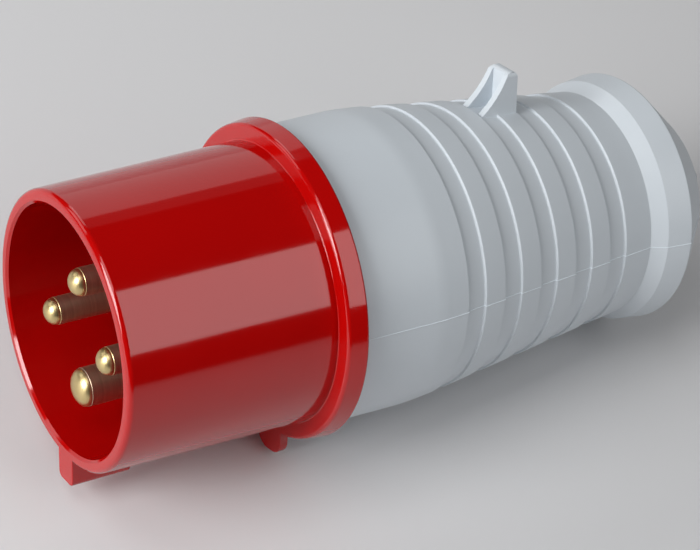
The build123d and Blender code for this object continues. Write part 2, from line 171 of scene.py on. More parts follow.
class PinSizes(bpy.types.PropertyGroup):
    """Brass pins with their terminals, screws and wire guards."""

    circle_r: length("Pin circle radius", "Radius of the circle that the pins stand on", 10.3)
    phase_r: length("Phase pin radius", "Radius of a phase pin", 2.5)
    earth_r: length("Earth pin radius", "Radius of the earth pin", 3.5)
    phase_tip: length("Phase tip", "Distance of a phase pin's tip behind the rim", 1.6)
    earth_tip: length("Earth tip", "Distance of the earth pin's tip behind the rim", 1.95)
    dome: length("Dome length", "Length of a pin's domed tip", 2.0)
    dome_ring: length("Dome ring", "Width of the narrow ring where a dome ends", 0.07)
    phase_wire_r: length("Phase wire hole radius", "Radius of the hole for a phase wire", 2.1)
    earth_wire_r: length("Earth wire hole radius", "Radius of the hole for the earth wire", 2.5)
    shoulder_step: length("Shoulder step", "How far a pin's shoulder stands out in the floor", 0.3)
    shoulder_lead: length("Shoulder lead", "How far a pin's shoulder reaches in front of the floor", 0.3)
    collar_step: length("Collar step", "How far a collar stands out of its pin", 1.4)
    collar_thickness: length("Collar thickness", "Thickness of a pin's collar", 1.8)
    terminal_wall: length("Terminal wall", "Wall of a terminal barrel", 1.35)
    terminal_length: length("Terminal length", "Length of a terminal behind the floor", 15.0)
    wire_depth: length("Wire hole depth", "Depth of the wire holes", 11.0)
    gap: length("Pin gap", "Gap round a pin in its seat", 0.05)
    screw_r: length("Terminal screw radius", "Radius of a terminal screw's hole", 1.75)
    screw_back: length("Terminal screw place", "Distance of the screw from the terminal's end", 5.0)
    screw_rise: length("Screw head rise", "Gap under a terminal screw's head", 0.25)
    head_r: length("Screw head radius", "Radius of a terminal screw's head", 2.7)
    head_height: length("Screw head height", "Height of a terminal screw's head", 1.8)
    slot_width: length("Screw slot width", "Width of a screw's slot", 0.8)
    slot_depth: length("Screw slot depth", "Depth of a screw's slot", 0.9)
    guard_length: length("Wire guard length", "Length of a wire guard", 6.0)
    guard_width: length("Wire guard width", "Width of a wire guard", 2.6)
    guard_thickness: length("Wire guard thickness", "Thickness of a wire guard", 0.5)
    guard_gap: length("Wire guard gap", "Gap between a wire guard and its terminal", 0.05)
    thread_pitch: length("Screw thread pitch", "Pitch of a terminal screw's thread", 0.7)
    thread_depth: length("Screw thread depth", "Depth of a terminal screw's thread", 0.28)
    carrier: length("Carrier thickness", "Thickness of the pin carrier's disc", 4.5)
    fixing_count: count("Carrier screws", "Screws that hold the carrier", 2)
    fixing_turn: turn("Carrier screw turn", "Angle of the first carrier screw", 45.0)
    fixing_place: length("Carrier screw place", "Distance of a carrier screw from the axis", 16.98)
    fixing_r: length("Carrier screw radius", "Radius of a carrier screw over its thread", 1.4)
    fixing_length: length("Carrier screw length", "Length of a carrier screw under its head", 8.95)
    fixing_pitch: length("Carrier screw pitch", "Pitch of a carrier screw's thread", 1.1)
    fixing_depth: length("Carrier screw thread", "Depth of a carrier screw's thread", 0.35)


class GripSizes(bpy.types.PropertyGroup):
    """Grey grip: barrel, grooved taper, waist, flared rim, rear cone, gland tube and catch."""

    face_x: length("Grip face", "Distance of the grip's front face from the rim", 43.7)
    face_r: length("Face radius", "Radius of the grip's front face", 27.38)
    barrel: length("Barrel length", "Length of the plain barrel", 16.2)
    barrel_draft: length("Barrel draft", "How much the barrel widens to its crease", 0.28)
    crease_round: length("Crease round", "Round between the barrel and the taper", 30.0)
    first_land: length("First land", "Length of the land in front of the first groove", 5.8)
    first_fall: length("First land fall", "How much the radius falls along the first land", 0.45)
    groove_count: count("Grooves", "Number of grip grooves", 5)
    groove_pitch: length("Groove pitch", "Distance from one groove to the next", 8.59)
    groove_width: length("Groove width", "Width of a groove", 3.92)
    groove_depth: length("Groove depth", "Depth of a groove", 0.45)
    taper_slope: share("Taper slope", "How fast the taper's radius falls along the axis", 0.118)
    last_land: length("Last land", "Length of the land behind the last groove", 6.5)
    flare: length("Flare length", "Length of the flare between the waist and the rim", 2.9)
    rim_height: length("Rim height", "How far the rim stands out of the waist", 1.6)
    rim_flare: length("Rim flare", "How much the rim widens to the rear", 0.67)
    rim_width: length("Rim width", "Width of the rim", 5.05)
    cone: length("Cone length", "Length of the rear cone", 9.0)
    tail_r: length("Tail radius", "Outside radius at the tail", 15.6)
    wall: length("Grip wall", "Thickness of the grip's wall", 2.4)
    edge_round: length("Edge round", "Round on the grip's outer edges", 0.4)
    groove_round: length("Groove round", "Round on the grooves' edges", 0.2)
    waist_round: length("Waist round", "Round in the corner between the waist and the flare", 0.3)
    gasket_r: length("Gasket seat radius", "Outside radius of the gasket's seat in the face", 25.88)
    gasket_seat: length("Gasket seat depth", "Depth of the gasket's seat from the face", 1.2)
    spigot_gap: length("Spigot gap", "Gap round the housing's spigot", 0.3)
    thread_r: length("Gland bore radius", "Radius of the bore for the gland nut", 13.0)
    tube_r: length("Gland tube radius", "Outside radius of the gland tube", 15.2)
    tube_length: length("Gland tube length", "Length of the gland tube from the tail", 23.0)
    shoulder: length("Shoulder thickness", "Thickness of the shoulder that holds the seal", 2.0)
    shoulder_hole_r: length("Shoulder hole radius", "Radius of the hole in the shoulder", 9.5)
    rib_count: count("Ribs", "Ribs that hold the gland tube", 8)
    rib_thickness: length("Rib thickness", "Thickness of a rib", 1.6)
    rib_length: length("Rib length", "Length of a rib", 10.0)
    seam_width: length("Parting line width", "Width of the fine raised line at the mould's parting", 0.22)
    seam_height: length("Parting line height", "Height of the parting line", 0.07)


class CatchSizes(bpy.types.PropertyGroup):
    """Catch for a socket's lid, on top of the grip."""

    groove: count("Groove", "Groove that the catch stands in", 3)
    back: length("Catch place", "Distance of the catch's foot from the groove's front", 0.7)
    width: length("Catch width", "Width of the catch at its cap", 5.8)
    draft: length("Catch draft", "How much each side of the catch leans out to its foot", 0.35)
    span: length("Catch length", "Length of the catch along the axis", 7.57)
    cap: length("Cap length", "Length of the catch's cap", 2.15)
    front_height: length("Front height", "Height of the cap's front edge", 7.3)
    rear_height: length("Rear height", "Height of the cap's rear edge", 7.35)
    sag: length("Ramp sag", "How hollow the ramp is", 0.6)
    wall: length("Catch wall", "Thickness of the catch's side walls at the cap", 1.15)
    rear_wall: length("Catch rear wall", "Thickness of the catch's rear wall", 2.1)
    edge_round: length("Cap round", "Round on the cap's edges", 0.8)


class GlandSizes(bpy.types.PropertyGroup):
    """Gland pieces that hold the lead: seal, claw ring, thrust washer and gland nut."""

    gap: length("Gland gap", "Gap between the gland pieces", 0.3)
    seal_gap: length("Seal gap", "Gap round the seal and the claw ring", 0.1)
    seat_gap: length("Seat gap", "Gap at the seal's two faces", 0.05)
    seal_length: length("Seal length", "Length of the cable seal", 8.0)
    seal_hole_r: length("Seal hole radius", "Radius of the hole in the seal", 5.5)
    seal_groove: length("Seal groove", "Depth of the grooves in the seal's hole", 0.9)
    seal_grooves: count("Seal grooves", "Grooves in the seal's hole", 3)
    claw_length: length("Claw ring length", "Length of the claw ring", 5.0)
    claw_hole_r: length("Claw hole radius", "Radius of the claw ring's hole", 8.0)
    claw_count: count("Claws", "Fingers of the claw ring", 12, 2)
    claw_slot: length("Claw slot", "Width of the slots between the claws", 1.2)
    claw_base: length("Claw base", "Thickness of the ring behind the slots", 1.6)
    washer: length("Washer thickness", "Thickness of the thrust washer", 1.2)
    nut_hole_r: length("Nut hole radius", "Radius of the hole in the gland nut", 7.5)
    nut_flats: length("Nut flats", "Size of the nut's hexagon across its flats", 20.5)
    nut_hex: length("Nut hexagon length", "Length of the nut's hexagon", 3.6)
    nut_round: length("Nut chamfer", "Chamfer on the hexagon's end", 0.8)
    thread_pitch: length("Nut thread pitch", "Pitch of the gland nut's thread", 1.5)
    thread_depth: length("Nut thread depth", "Depth of the gland nut's thread", 0.55)


class FinishColours(bpy.types.PropertyGroup):
    """Base colours of the finishes."""

    red: colour("Red plastic", "Contact housing", (0.455, 0.0018, 0.0015))
    grey: colour("Grey plastic", "Grip", (0.64, 0.69, 0.735))
    nut_grey: colour("Nut plastic", "Gland nut", (0.5, 0.54, 0.575))
    brass: colour("Bright brass", "Domes of the pins", (0.7, 0.55, 0.27))
    dull_brass: colour("Dull brass", "Barrels of the pins", (0.54, 0.42, 0.3))
    carrier: colour("Carrier plastic", "Pin carrier", (0.035, 0.035, 0.04))
    natural: colour("Natural plastic", "Claw ring", (0.66, 0.64, 0.58))
    steel: colour("Plated steel", "Screws, wire guards and washer", (0.62, 0.62, 0.6))
    rubber: colour("Rubber", "Gasket and seal", (0.03, 0.03, 0.032))
    table: colour("Table", "Table top", (0.72, 0.72, 0.73))
    room: colour("Room", "Light of the room", (0.9, 0.95, 1.0))


class StageSizes(bpy.types.PropertyGroup):
    """Table, lights and camera: powers, and the camera's place in the plug's own upright frame."""

    azimuth: turn("Camera azimuth", "Camera's turn from the plug's near side towards its pins", -32.965)
    elevation: turn("Camera elevation", "Camera's height over the plug's own level", 26.798)
    roll: turn("Camera roll", "Camera's turn about its own view", 2.102)
    distance: length("Camera distance", "From the camera to its target", 421.992)
    target_x: length("Target along the axis", "Camera's target, from the rim", 58.121)
    target_drop: length("Target drop", "Camera's target below the axis", 2.952)
    lens: share("Lens", "Focal length in millimetres", 118.363, 500.0)
    sensor: share("Sensor", "Width of the sensor in millimetres", 36.0, 100.0)
    near: length("Near clip", "Nearest distance that the camera sees", 10.0)
    table_size: length("Table size", "Width of the table", 6000.0)
    key_power: share("Key light", "Power of the panel in front of the pins", 8.0, 500.0)
    high_power: share("High light", "Power of the panel above the pins", 1.3, 500.0)
    fill_power: share("Fill light", "Power of the panel in front of the far side", 0.7, 500.0)
    side_power: share("Side light", "Power of the large panel at the near side", 2.05, 500.0)
    back_power: share("Back light", "Power of the panel that the top of the plug mirrors", 0.56, 500.0)
    strip_power: share("Strip light", "Power of the dim strip above the back panel", 0.022, 500.0)
    rim_power: share("Rim light", "Power of the panel behind the plug", 0.7, 500.0)
    room: share("Room light", "Brightness of the room round the table", 0.01, 10.0)


GROUPS = {
    "plug_housing": HousingSizes,
    "plug_pins": PinSizes,
    "plug_grip": GripSizes,
    "plug_catch": CatchSizes,
    "plug_gland": GlandSizes,
    "plug_finish": FinishColours,
    "plug_stage": StageSizes,
}


# Outlines and plain meshes

def rounded(corners):
    """Flat outline through (x, y, round) corners, each round drawn as a short arc."""
    points = []
    for i, (x, y, radius) in enumerate(corners):
        here = Vector((x, y))
        if not radius:
            points.append(here)
            continue
        before = (Vector(corners[i - 1][:2]) - here).normalized()
        after = (Vector(corners[(i + 1) % len(corners)][:2]) - here).normalized()
        half = before.angle(after) / 2
        centre = here + (before + after).normalized() * (radius / sin(half))
        start = here + before * (radius / tan(half)) - centre
        sweep = (pi - 2 * half) * (1 if before.x * after.y - before.y * after.x < 0 else -1)
        steps = max(ARC_STEPS_MIN, ceil(abs(sweep) / ARC_STEP))
        points += [centre + Matrix.Rotation(sweep * k / steps, 2) @ start for k in range(steps + 1)]
    return points


def box_outline(y0, y1, z0, z1, low_round=0.0, high_round=0.0):
    """Rectangle in the cross plane with its two low or two high corners rounded."""
    return rounded([(y0, z0, low_round), (y1, z0, low_round), (y1, z1, high_round), (y0, z1, high_round)])


def disc(radius, sides=SIDES["hole"], middle=0.0):
    """Round outline about a point on the first axis of a plane."""
    angles = [2 * pi * i / sides for i in range(sides)]
    return [Vector((middle + radius * sin(a), radius * cos(a))) for a in angles]


def new_object(name, data):
    """Object for a mesh, light or camera, linked to the scene."""
    item = bpy.data.objects.new(name, data)
    bpy.context.scene.collection.objects.link(item)
    return item


def take_mesh(item):
    """The item's mesh by itself, without its object."""
    mesh = item.data
    bpy.data.objects.remove(item)
    return mesh


@contextmanager
def editing(mesh):
    """A mesh held open for editing, and written back at the end."""
    shape = bmesh.new()
    shape.from_mesh(mesh)
    yield shape
    shape.to_mesh(mesh)
    shape.free()


def edge_loop(name, points, closed=True):
    """Object of plain edges through (x, radius) points, drawn in the XZ plane and ready to be turned."""
    total = len(points)
    mesh = bpy.data.meshes.new(name)
    edges = [(i, (i + 1) % total) for i in range(total if closed else total - 1)]
    mesh.from_pydata([(p[0], 0.0, p[1]) for p in points], edges, [])
    return new_object(name, mesh)


def prism(points, start, end, along="X", bevel=0.0):
    """Bar with a flat outline, drawn as (Y, Z) along X or as (X, Z) along Y, with its end edges bevelled."""
    lay = (lambda p, at: (at, p[0], p[1])) if along == "X" else (lambda p, at: (p[0], at, p[1]))
    mesh = bpy.data.meshes.new("prism")
    with editing(mesh) as shape:
        front, rear = [[shape.verts.new(lay(p, at)) for p in points] for at in (start, end)]
        caps = [shape.faces.new(ring) for ring in (front, rear)]
        for i in range(len(points)):
            j = (i + 1) % len(points)
            shape.faces.new((front[i], front[j], rear[j], rear[i]))
        bmesh.ops.recalc_face_normals(shape, faces=shape.faces)
        if bevel:
            edges = list({edge for cap in caps for edge in cap.edges})
            bmesh.ops.bevel(
                shape, geom=edges, offset=bevel, segments=BEVEL_STEPS, profile=0.5, affect="EDGES"
            )
    return mesh


def clock(angle):
    """Turn about the plug axis: 0 is 12 o'clock, positive runs towards the +Y side."""
    return Matrix.Rotation(-angle, 4, "X")


def freeze(item):
    """Turn the item's modifiers into plain mesh."""
    graph = bpy.context.evaluated_depsgraph_get()
    graph.update()
    mesh = bpy.data.meshes.new_from_object(item.evaluated_get(graph), depsgraph=graph)
    item.modifiers.clear()
    old = item.data
    item.data = mesh
    bpy.data.meshes.remove(old)


def combine(item, operation, *meshes):
    """Add, cut or keep what the item shares with some closed meshes."""
    for mesh in meshes:
        tool = new_object("tool", mesh)
        step = item.modifiers.new("Combine", "BOOLEAN")
        step.operation = operation
        step.solver = "EXACT"
        step.object = tool
        freeze(item)
        bpy.data.objects.remove(tool)


def join(name, *items):
    """One object from several finished ones."""
    mesh = bpy.data.meshes.new(name)
    with editing(mesh) as shape:
        for item in items:
            shape.from_mesh(take_mesh(item))
    return new_object(name, mesh)


def smooth(item):
    """Close the mesh, point its faces outwards, keep its sharp edges and let flat faces stay flat."""
    with editing(item.data) as shape:
        bmesh.ops.remove_doubles(shape, verts=shape.verts, dist=WELD)
        bmesh.ops.dissolve_degenerate(shape, edges=shape.edges, dist=WELD)
        bmesh.ops.recalc_face_normals(shape, faces=shape.faces)
    item.data.shade_smooth()
    item.data.set_sharp_from_angle(angle=SHARP_ANGLE)
    step = item.modifiers.new("Normals", "WEIGHTED_NORMAL")
    step.keep_sharp = True
    freeze(item)


def place(item, name, body, slot, material, *nodes):
    """Name a finished piece, give it its material, roll it as the plug lies, hang it on its body and hide the
    frame's nodes that it takes the place of.
    """
    item.name = name
    item.data.name = name
    item.data.transform(LYING)
    item.data.materials.clear()
    item.data.materials.append(material)
    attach(item, body)
    if nodes:
        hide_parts(*nodes)


def paint(node, material):
    """Give a node of the frame its finish."""
    for socket in frame["nodes"][node].material_slots:
        socket.material = material


# Node trees

class Tree:
    """Adds nodes to a tree and links their sockets."""

    def __init__(self, tree):
        self.tree = tree

    def feed(self, socket, value):
        """Link an output, or a node's first output, to an input, or set the input's value."""
        if isinstance(value, bpy.types.Node):
            value = value.outputs[0]
        if isinstance(value, bpy.types.NodeSocket):
            self.tree.links.new(value, socket)
        else:
            socket.default_value = value

    def add(self, kind, inputs=None, **settings):
        """New node with its settings, and with each given input either set or linked."""
        node = self.tree.nodes.new(kind)
        for key, value in settings.items():
            setattr(node, key, value)
        for key, value in (inputs or {}).items():
            self.feed(node.inputs[key], value)
        return node

    def math(self, operation, *values):
        """Math node's result."""
        node = self.add("ShaderNodeMath", operation=operation)
        for socket, value in zip(node.inputs, values):
            self.feed(socket, value)
        return node.outputs[0]

    def vector(self, x, y, z):
        """Vector from three numbers."""
        return self.add("ShaderNodeCombineXYZ", {"X": x, "Y": y, "Z": z}).outputs[0]


class GeometryTree(Tree):
    """Geometry tree with a named input for each of its sizes and one for its material."""

    def __init__(self, name, **sizes):
        super().__init__(bpy.data.node_groups.new(name, "GeometryNodeTree"))
        self.add_socket("Geometry", "Geometry")
        for key, default in sizes.items():
            kind = "Int" if isinstance(default, int) else "Float"
            self.add_socket(key.replace("_", " ").title(), kind).default_value = default
        self.add_socket("Material", "Material")
        self.add_socket("Geometry", "Geometry", "OUTPUT")
        self.given = self.tree.nodes.new("NodeGroupInput").outputs
        self.result = self.tree.nodes.new("NodeGroupOutput").inputs

    def add_socket(self, name, kind, side="INPUT"):
        """New input or output of the tree."""
        return self.tree.interface.new_socket(name, in_out=side, socket_type=f"NodeSocket{kind}")

    def point_count(self):
        """Number of points that the tree is given."""
        return self.add(
            "GeometryNodeAttributeDomainSize", {"Geometry": self.given["Geometry"]}, component="MESH"
        )

    def index(self):
        """Number of each point in turn."""
        return self.add("GeometryNodeInputIndex")

    def given_point(self, index):
        """Place of one of the points that the tree is given."""
        here = self.add("GeometryNodeInputPosition")
        return self.add("GeometryNodeSampleIndex", {
            "Geometry": self.given["Geometry"], "Value": here, "Index": index,
        }, data_type="FLOAT_VECTOR", domain="POINT")

    def end(self, geometry):
        """End the tree in real mesh with its material."""
        solid = self.add("GeometryNodeRealizeInstances", {"Geometry": geometry})
        self.feed(self.result["Geometry"], self.add("GeometryNodeSetMaterial", {
            "Geometry": solid, "Material": self.given["Material"],
        }))
        return self.tree


def shape_by(item, group, **values):
    """Run a geometry tree on an item, with its named inputs, and keep the result as plain mesh."""
    step = item.modifiers.new(group.name, "NODES")
    step.node_group = group
    for socket in group.interface.items_tree:
        key = socket.name.lower().replace(" ", "_")
        if socket.in_out == "INPUT" and key in values:
            step[socket.identifier] = values.pop(key)
    if values:
        raise RuntimeError(f"{group.name} has no input named {sorted(values)}")
    freeze(item)
    return item


@cache
def turning_tree():
    """Turns a closed outline in the XZ plane about the X axis."""
    tree = GeometryTree("Turned Piece", segments=128)
    total = tree.point_count()
    rows = tree.math("ADD", total, 1.0)
    columns = tree.math("ADD", tree.given["Segments"], 1.0)
    grid = tree.add("GeometryNodeMeshGrid", {"Vertices X": columns, "Vertices Y": rows})
    index = tree.index()
    row = tree.math("FLOORED_MODULO", tree.math("FLOORED_MODULO", index, rows), total)
    column = tree.math("FLOOR", tree.math("DIVIDE", tree.math("ADD", index, 0.5), rows))
    turned_to = tree.add("ShaderNodeVectorRotate", {
        "Vector": tree.given_point(row), "Axis": (1.0, 0.0, 0.0),
        "Angle": tree.math("DIVIDE", tree.math("MULTIPLY", column, 2 * pi), tree.given["Segments"]),
    }, rotation_type="AXIS_ANGLE")
    moved = tree.add("GeometryNodeSetPosition", {"Geometry": grid, "Position": turned_to})
    return tree.end(tree.add("GeometryNodeMergeByDistance", {"Geometry": moved, "Distance": 2 * WELD}))


@cache
def grooving_tree():
    """Closes the grip's outline with its grooved taper: four corners for each groove, worked out by rule."""
    tree = GeometryTree(
        "Grooved Taper", grooves=5, pitch=8.0 * MM, width=4.0 * MM, depth=0.5 * MM, start=0.0,
        start_radius=25.0 * MM, slope=0.1, round=0.2 * MM,
    )
    given = tree.given
    corners = tree.math("SUBTRACT", tree.math("MULTIPLY", given["Grooves"], 4.0), 1.0)
    line = tree.add("GeometryNodeMeshLine", {"Count": tree.math("ADD", corners, tree.point_count())})
    index = tree.index()
    corner = tree.math("FLOORED_MODULO", index, 4.0)
    groove = tree.math("FLOOR", tree.math("DIVIDE", tree.math("ADD", index, 0.5), 4.0))
    # Corners 0 and 1 are on a groove's floor, 1 and 2 at its rear edge, and 3 at the next groove's front edge
    on_floor = tree.math("LESS_THAN", corner, 1.5)
    at_rear = tree.math("COMPARE", corner, 1.5, 0.6)
    at_next = tree.math("GREATER_THAN", corner, 2.5)
    x = tree.math("ADD", given["Start"], tree.math("MULTIPLY", groove, given["Pitch"]))
    x = tree.math("ADD", x, tree.math("MULTIPLY", at_rear, given["Width"]))
    x = tree.math("ADD", x, tree.math("MULTIPLY", at_next, given["Pitch"]))
    fall = tree.math("MULTIPLY", tree.math("SUBTRACT", x, given["Start"]), given["Slope"])
    r = tree.math("SUBTRACT", given["Start Radius"], fall)
    r = tree.math("SUBTRACT", r, tree.math("MULTIPLY", on_floor, given["Depth"]))
    is_corner = tree.math("LESS_THAN", index, corners)
    pick = tree.add("GeometryNodeSwitch", {
        "Switch": is_corner, "False": tree.given_point(tree.math("SUBTRACT", index, corners)),
        "True": tree.vector(x, 0.0, r),
    }, input_type="VECTOR")
    moved = tree.add("GeometryNodeSetPosition", {"Geometry": line, "Position": pick})
    curve = tree.add("GeometryNodeMeshToCurve", {"Mesh": moved})
    closed = tree.add("GeometryNodeSetSplineCyclic", {"Geometry": curve, "Cyclic": True})
    soft = tree.add("GeometryNodeFilletCurve", {
        "Curve": closed, "Limit Radius": True, "Count": 3,
        "Radius": tree.math("MULTIPLY", is_corner, given["Round"]),
    }, mode="POLY")
    edges = tree.add("GeometryNodeCurveToMesh", {"Curve": soft})
    return tree.end(tree.add("GeometryNodeMergeByDistance", {"Geometry": edges, "Distance": WELD}))


@cache
def thread_tree():
    """Winds a right-handed ridge with a V section round the X axis."""
    tree = GeometryTree(
        "Thread Ridge", start=0.0, radius=10.0 * MM, turns=5.0, pitch=1.0 * MM, depth=0.5 * MM, steps=48
    )
    given = tree.given
    helix = tree.add("GeometryNodeCurveSpiral", {
        "Resolution": given["Steps"], "Rotations": given["Turns"], "Start Radius": given["Radius"],
        "End Radius": given["Radius"], "Height": tree.math("MULTIPLY", given["Turns"], given["Pitch"]),
        "Reverse": True,
    })
    level = tree.add("GeometryNodeSetCurveNormal", {"Curve": helix}, mode="Z_UP")
    ridge = tree.add("GeometryNodeCurvePrimitiveCircle", {"Resolution": 3, "Radius": given["Depth"]})
    wound = tree.add("GeometryNodeCurveToMesh", {"Curve": level, "Profile Curve": ridge, "Fill Caps": True})
    return tree.end(tree.add("GeometryNodeTransform", {
        "Geometry": wound, "Translation": tree.vector(given["Start"], 0.0, 0.0),
        "Rotation": (0.0, pi / 2, 0.0),
    }))


@cache
def ring_tree():
    """Sets copies of a piece round the X axis."""
    tree = GeometryTree("Ring of Copies", count=3, first_angle=0.0)
    points = tree.add("GeometryNodePoints", {"Count": tree.given["Count"], "Position": (0.0, 0.0, 0.0)})
    angle = tree.math("DIVIDE", tree.math("MULTIPLY", tree.index(), 2 * pi), tree.given["Count"])
    angle = tree.math("MULTIPLY", tree.math("ADD", angle, tree.given["First Angle"]), -1.0)
    return tree.end(tree.add("GeometryNodeInstanceOnPoints", {
        "Points": points, "Instance": tree.given["Geometry"], "Rotation": tree.vector(angle, 0.0, 0.0),
    }))


@cache
def seam_tree():
    """Lays a fine raised line along an outline, at the given angle round the X axis."""
    tree = GeometryTree("Parting Line", angle=0.0, width=0.2 * MM, height=0.1 * MM)
    given = tree.given
    curve = tree.add("GeometryNodeMeshToCurve", {"Mesh": given["Geometry"]})
    ridge = tree.add("GeometryNodeCurvePrimitiveCircle", {"Resolution": 8, "Radius": 1.0})
    half = tree.math("MULTIPLY", given["Width"], 0.5)
    flat = tree.add("GeometryNodeTransform", {
        "Geometry": ridge, "Scale": tree.vector(given["Height"], half, 1.0),
    })
    laid = tree.add("GeometryNodeCurveToMesh", {"Curve": curve, "Profile Curve": flat, "Fill Caps": True})
    angle = tree.math("MULTIPLY", given["Angle"], -1.0)
    return tree.end(tree.add("GeometryNodeTransform", {
        "Geometry": laid, "Rotation": tree.vector(angle, 0.0, 0.0),
    }))


def turned(name, points, sides, material):
    """Closed piece turned about the plug axis from (x, radius) points."""
    return shape_by(edge_loop(name, points), turning_tree(), segments=sides, material=material)


def ring_of(mesh, total, first, material):
    """Even ring of copies of a mesh, as one mesh."""
    item = new_object("ring", mesh)
    return take_mesh(shape_by(item, ring_tree(), count=total, first_angle=first, material=material))


def thread_ridge(start, end, radius, pitch, depth, steps, material):
    """Thread ridge between two places on the X axis, half a turn clear of both."""
    return shape_by(
        new_object("thread", bpy.data.meshes.new("thread")), thread_tree(), start=start + pitch / 2,
        radius=radius, turns=(end - start) / pitch - 1, pitch=pitch, depth=depth, steps=steps,
        material=material,
    )


# Finishes

class Finish(Tree):
    """Material with its patterns, which all read Object coordinates. Pattern scales are per metre."""

    def __init__(self, name):
        self.material = bpy.data.materials.new(name)
        self.material.use_nodes = True
        super().__init__(self.material.node_tree)
        self.at = self.add("ShaderNodeTexCoord").outputs["Object"]

    def noise(self, scale, detail=2.0, roughness=0.5, at=None):
        """Noise pattern's value."""
        return self.add("ShaderNodeTexNoise", {
            "Vector": at or self.at, "Scale": scale, "Detail": detail, "Roughness": roughness,
        })

    def spread(self, value, low, high):
        """Value from 0 to 1 mapped between two numbers."""
        return self.add("ShaderNodeMapRange", {"Value": value, "To Min": low, "To Max": high})

    def mix(self, factor, a, b):
        """Mix of two colours."""
        node = self.add("ShaderNodeMix", {"Factor": factor, "A": a, "B": b}, data_type="RGBA")
        return node.outputs["Result"]

    def tones(self, factor, base, low, high):
        """Base colour that a pattern takes from its low to its high share of brightness."""
        return self.mix(factor, (*shade(base, low), 1.0), (*shade(base, high), 1.0))

    def bump(self, height, distance, under=None):
        """Bump from a height, over another bump if one is given."""
        node = self.add("ShaderNodeBump", {"Height": height, "Distance": distance})
        if under:
            self.feed(node.inputs["Normal"], under)
        return node

    def finish(self, sockets):
        """Set or link the shader's sockets and return the material."""
        shader = self.tree.nodes["Principled BSDF"]
        for name, value in sockets.items():
            self.feed(shader.inputs[name], value)
        return self.material


def shade(base, amount):
    """A colour made darker or lighter."""
    return tuple(min(1.0, c * amount) for c in base)


def gloss_red(colours):
    """Gloss moulded plastic: slight swirls of pigment, faint waves of the mould and rubbed spots."""
    look = Finish("gloss_red_plastic")
    pigment = look.noise(60.0, detail=3.0)
    rubbed = look.noise(220.0, detail=4.0, roughness=0.65)
    waves = look.bump(look.noise(90.0, detail=1.0), 0.02 * MM)
    return look.finish({
        "Base Color": look.tones(pigment, colours.red, 0.93, 1.06),
        "Roughness": look.spread(rubbed, 0.045, 0.13),
        "IOR": 1.6,
        "Normal": look.bump(look.noise(2600.0), 0.0006 * MM, waves),
    })


def satin(name, base):
    """Satin moulded plastic with a fine eroded grain and faint flow marks."""
    look = Finish(name)
    flow = look.noise(45.0, detail=4.0, roughness=0.6)
    grain = look.noise(3200.0, detail=3.0, roughness=0.6)
    waves = look.bump(look.noise(110.0, detail=1.0), 0.02 * MM)
    return look.finish({
        "Base Color": look.tones(flow, base, 0.95, 1.05),
        "Roughness": look.spread(grain, 0.33, 0.47),
        "IOR": 1.5,
        "Normal": look.bump(grain, 0.008 * MM, waves),
    })


def turned_brass(colours):
    """Brass with the fine rings that a lathe leaves: bright domes and duller, tarnished barrels behind them."""
    look = Finish("turned_brass")
    pins = bpy.context.scene.plug_pins
    depth = look.add("ShaderNodeSeparateXYZ", {"Vector": look.at})
    dome_end = min(pins.phase_tip, pins.earth_tip) + pins.dome
    on_barrel = look.add("ShaderNodeMapRange", {
        "Value": depth, "From Min": dome_end, "From Max": dome_end + 0.3 * MM,
    })
    tarnish = look.noise(380.0, detail=4.0, roughness=0.6)
    streaks = look.noise(1800.0, detail=3.0, roughness=0.7, at=look.vector(depth, 0.0, 0.0))
    rings = look.add("ShaderNodeTexWave", {
        "Vector": look.at, "Scale": 800.0, "Distortion": 0.4, "Detail": 1.0,
    }, wave_type="BANDS", bands_direction="X")
    duller = look.math("MULTIPLY", on_barrel, 0.12)
    return look.finish({
        "Base Color": look.mix(
            on_barrel, look.tones(tarnish, colours.brass, 0.88, 1.05),
            look.tones(streaks, colours.dull_brass, 0.6, 1.5),
        ),
        "Metallic": 1.0,
        "Roughness": look.math("ADD", duller, look.spread(tarnish, 0.3, 0.4)),
        "Normal": look.bump(rings.outputs["Fac"], 0.004 * MM),
    })


def plated_steel(colours):
    """Zinc-plated steel with a soft crystalline grain."""
    look = Finish("plated_steel")
    grain = look.noise(900.0, detail=3.0)
    return look.finish({
        "Base Color": look.tones(grain, colours.steel, 0.85, 1.0),
        "Metallic": 1.0,
        "Roughness": look.spread(grain, 0.25, 0.42),
        "Normal": look.bump(grain, 0.003 * MM),
    })


def moulded(name, base, roughness):
    """Plain moulded plastic for the inner pieces, with a fine grain."""
    look = Finish(name)
    flow, grain = look.noise(120.0, detail=3.0), look.noise(2400.0)
    return look.finish({
        "Base Color": look.tones(flow, base, 0.88, 1.1),
        "Roughness": look.spread(grain, roughness, roughness + 0.12),
        "Normal": look.bump(grain, 0.006 * MM),
    })


def black_rubber(colours):
    """Soft black rubber with a dusty, mottled surface."""
    look = Finish("black_rubber")
    dust = look.noise(500.0, detail=5.0, roughness=0.7)
    return look.finish({
        "Base Color": look.tones(dust, colours.rubber, 0.8, 1.6),
        "Roughness": look.spread(dust, 0.62, 0.85),
        "Normal": look.bump(dust, 0.01 * MM),
    })


def table_top(colours):
    """Pale matt table with a barely uneven tone."""
    look = Finish("pale_table")
    return look.finish({
        "Base Color": look.tones(look.noise(3.0, detail=3.0), colours.table, 0.98, 1.0),
        "Roughness": 0.55,
        "Normal": look.bump(look.noise(700.0), 0.01 * MM),
    })


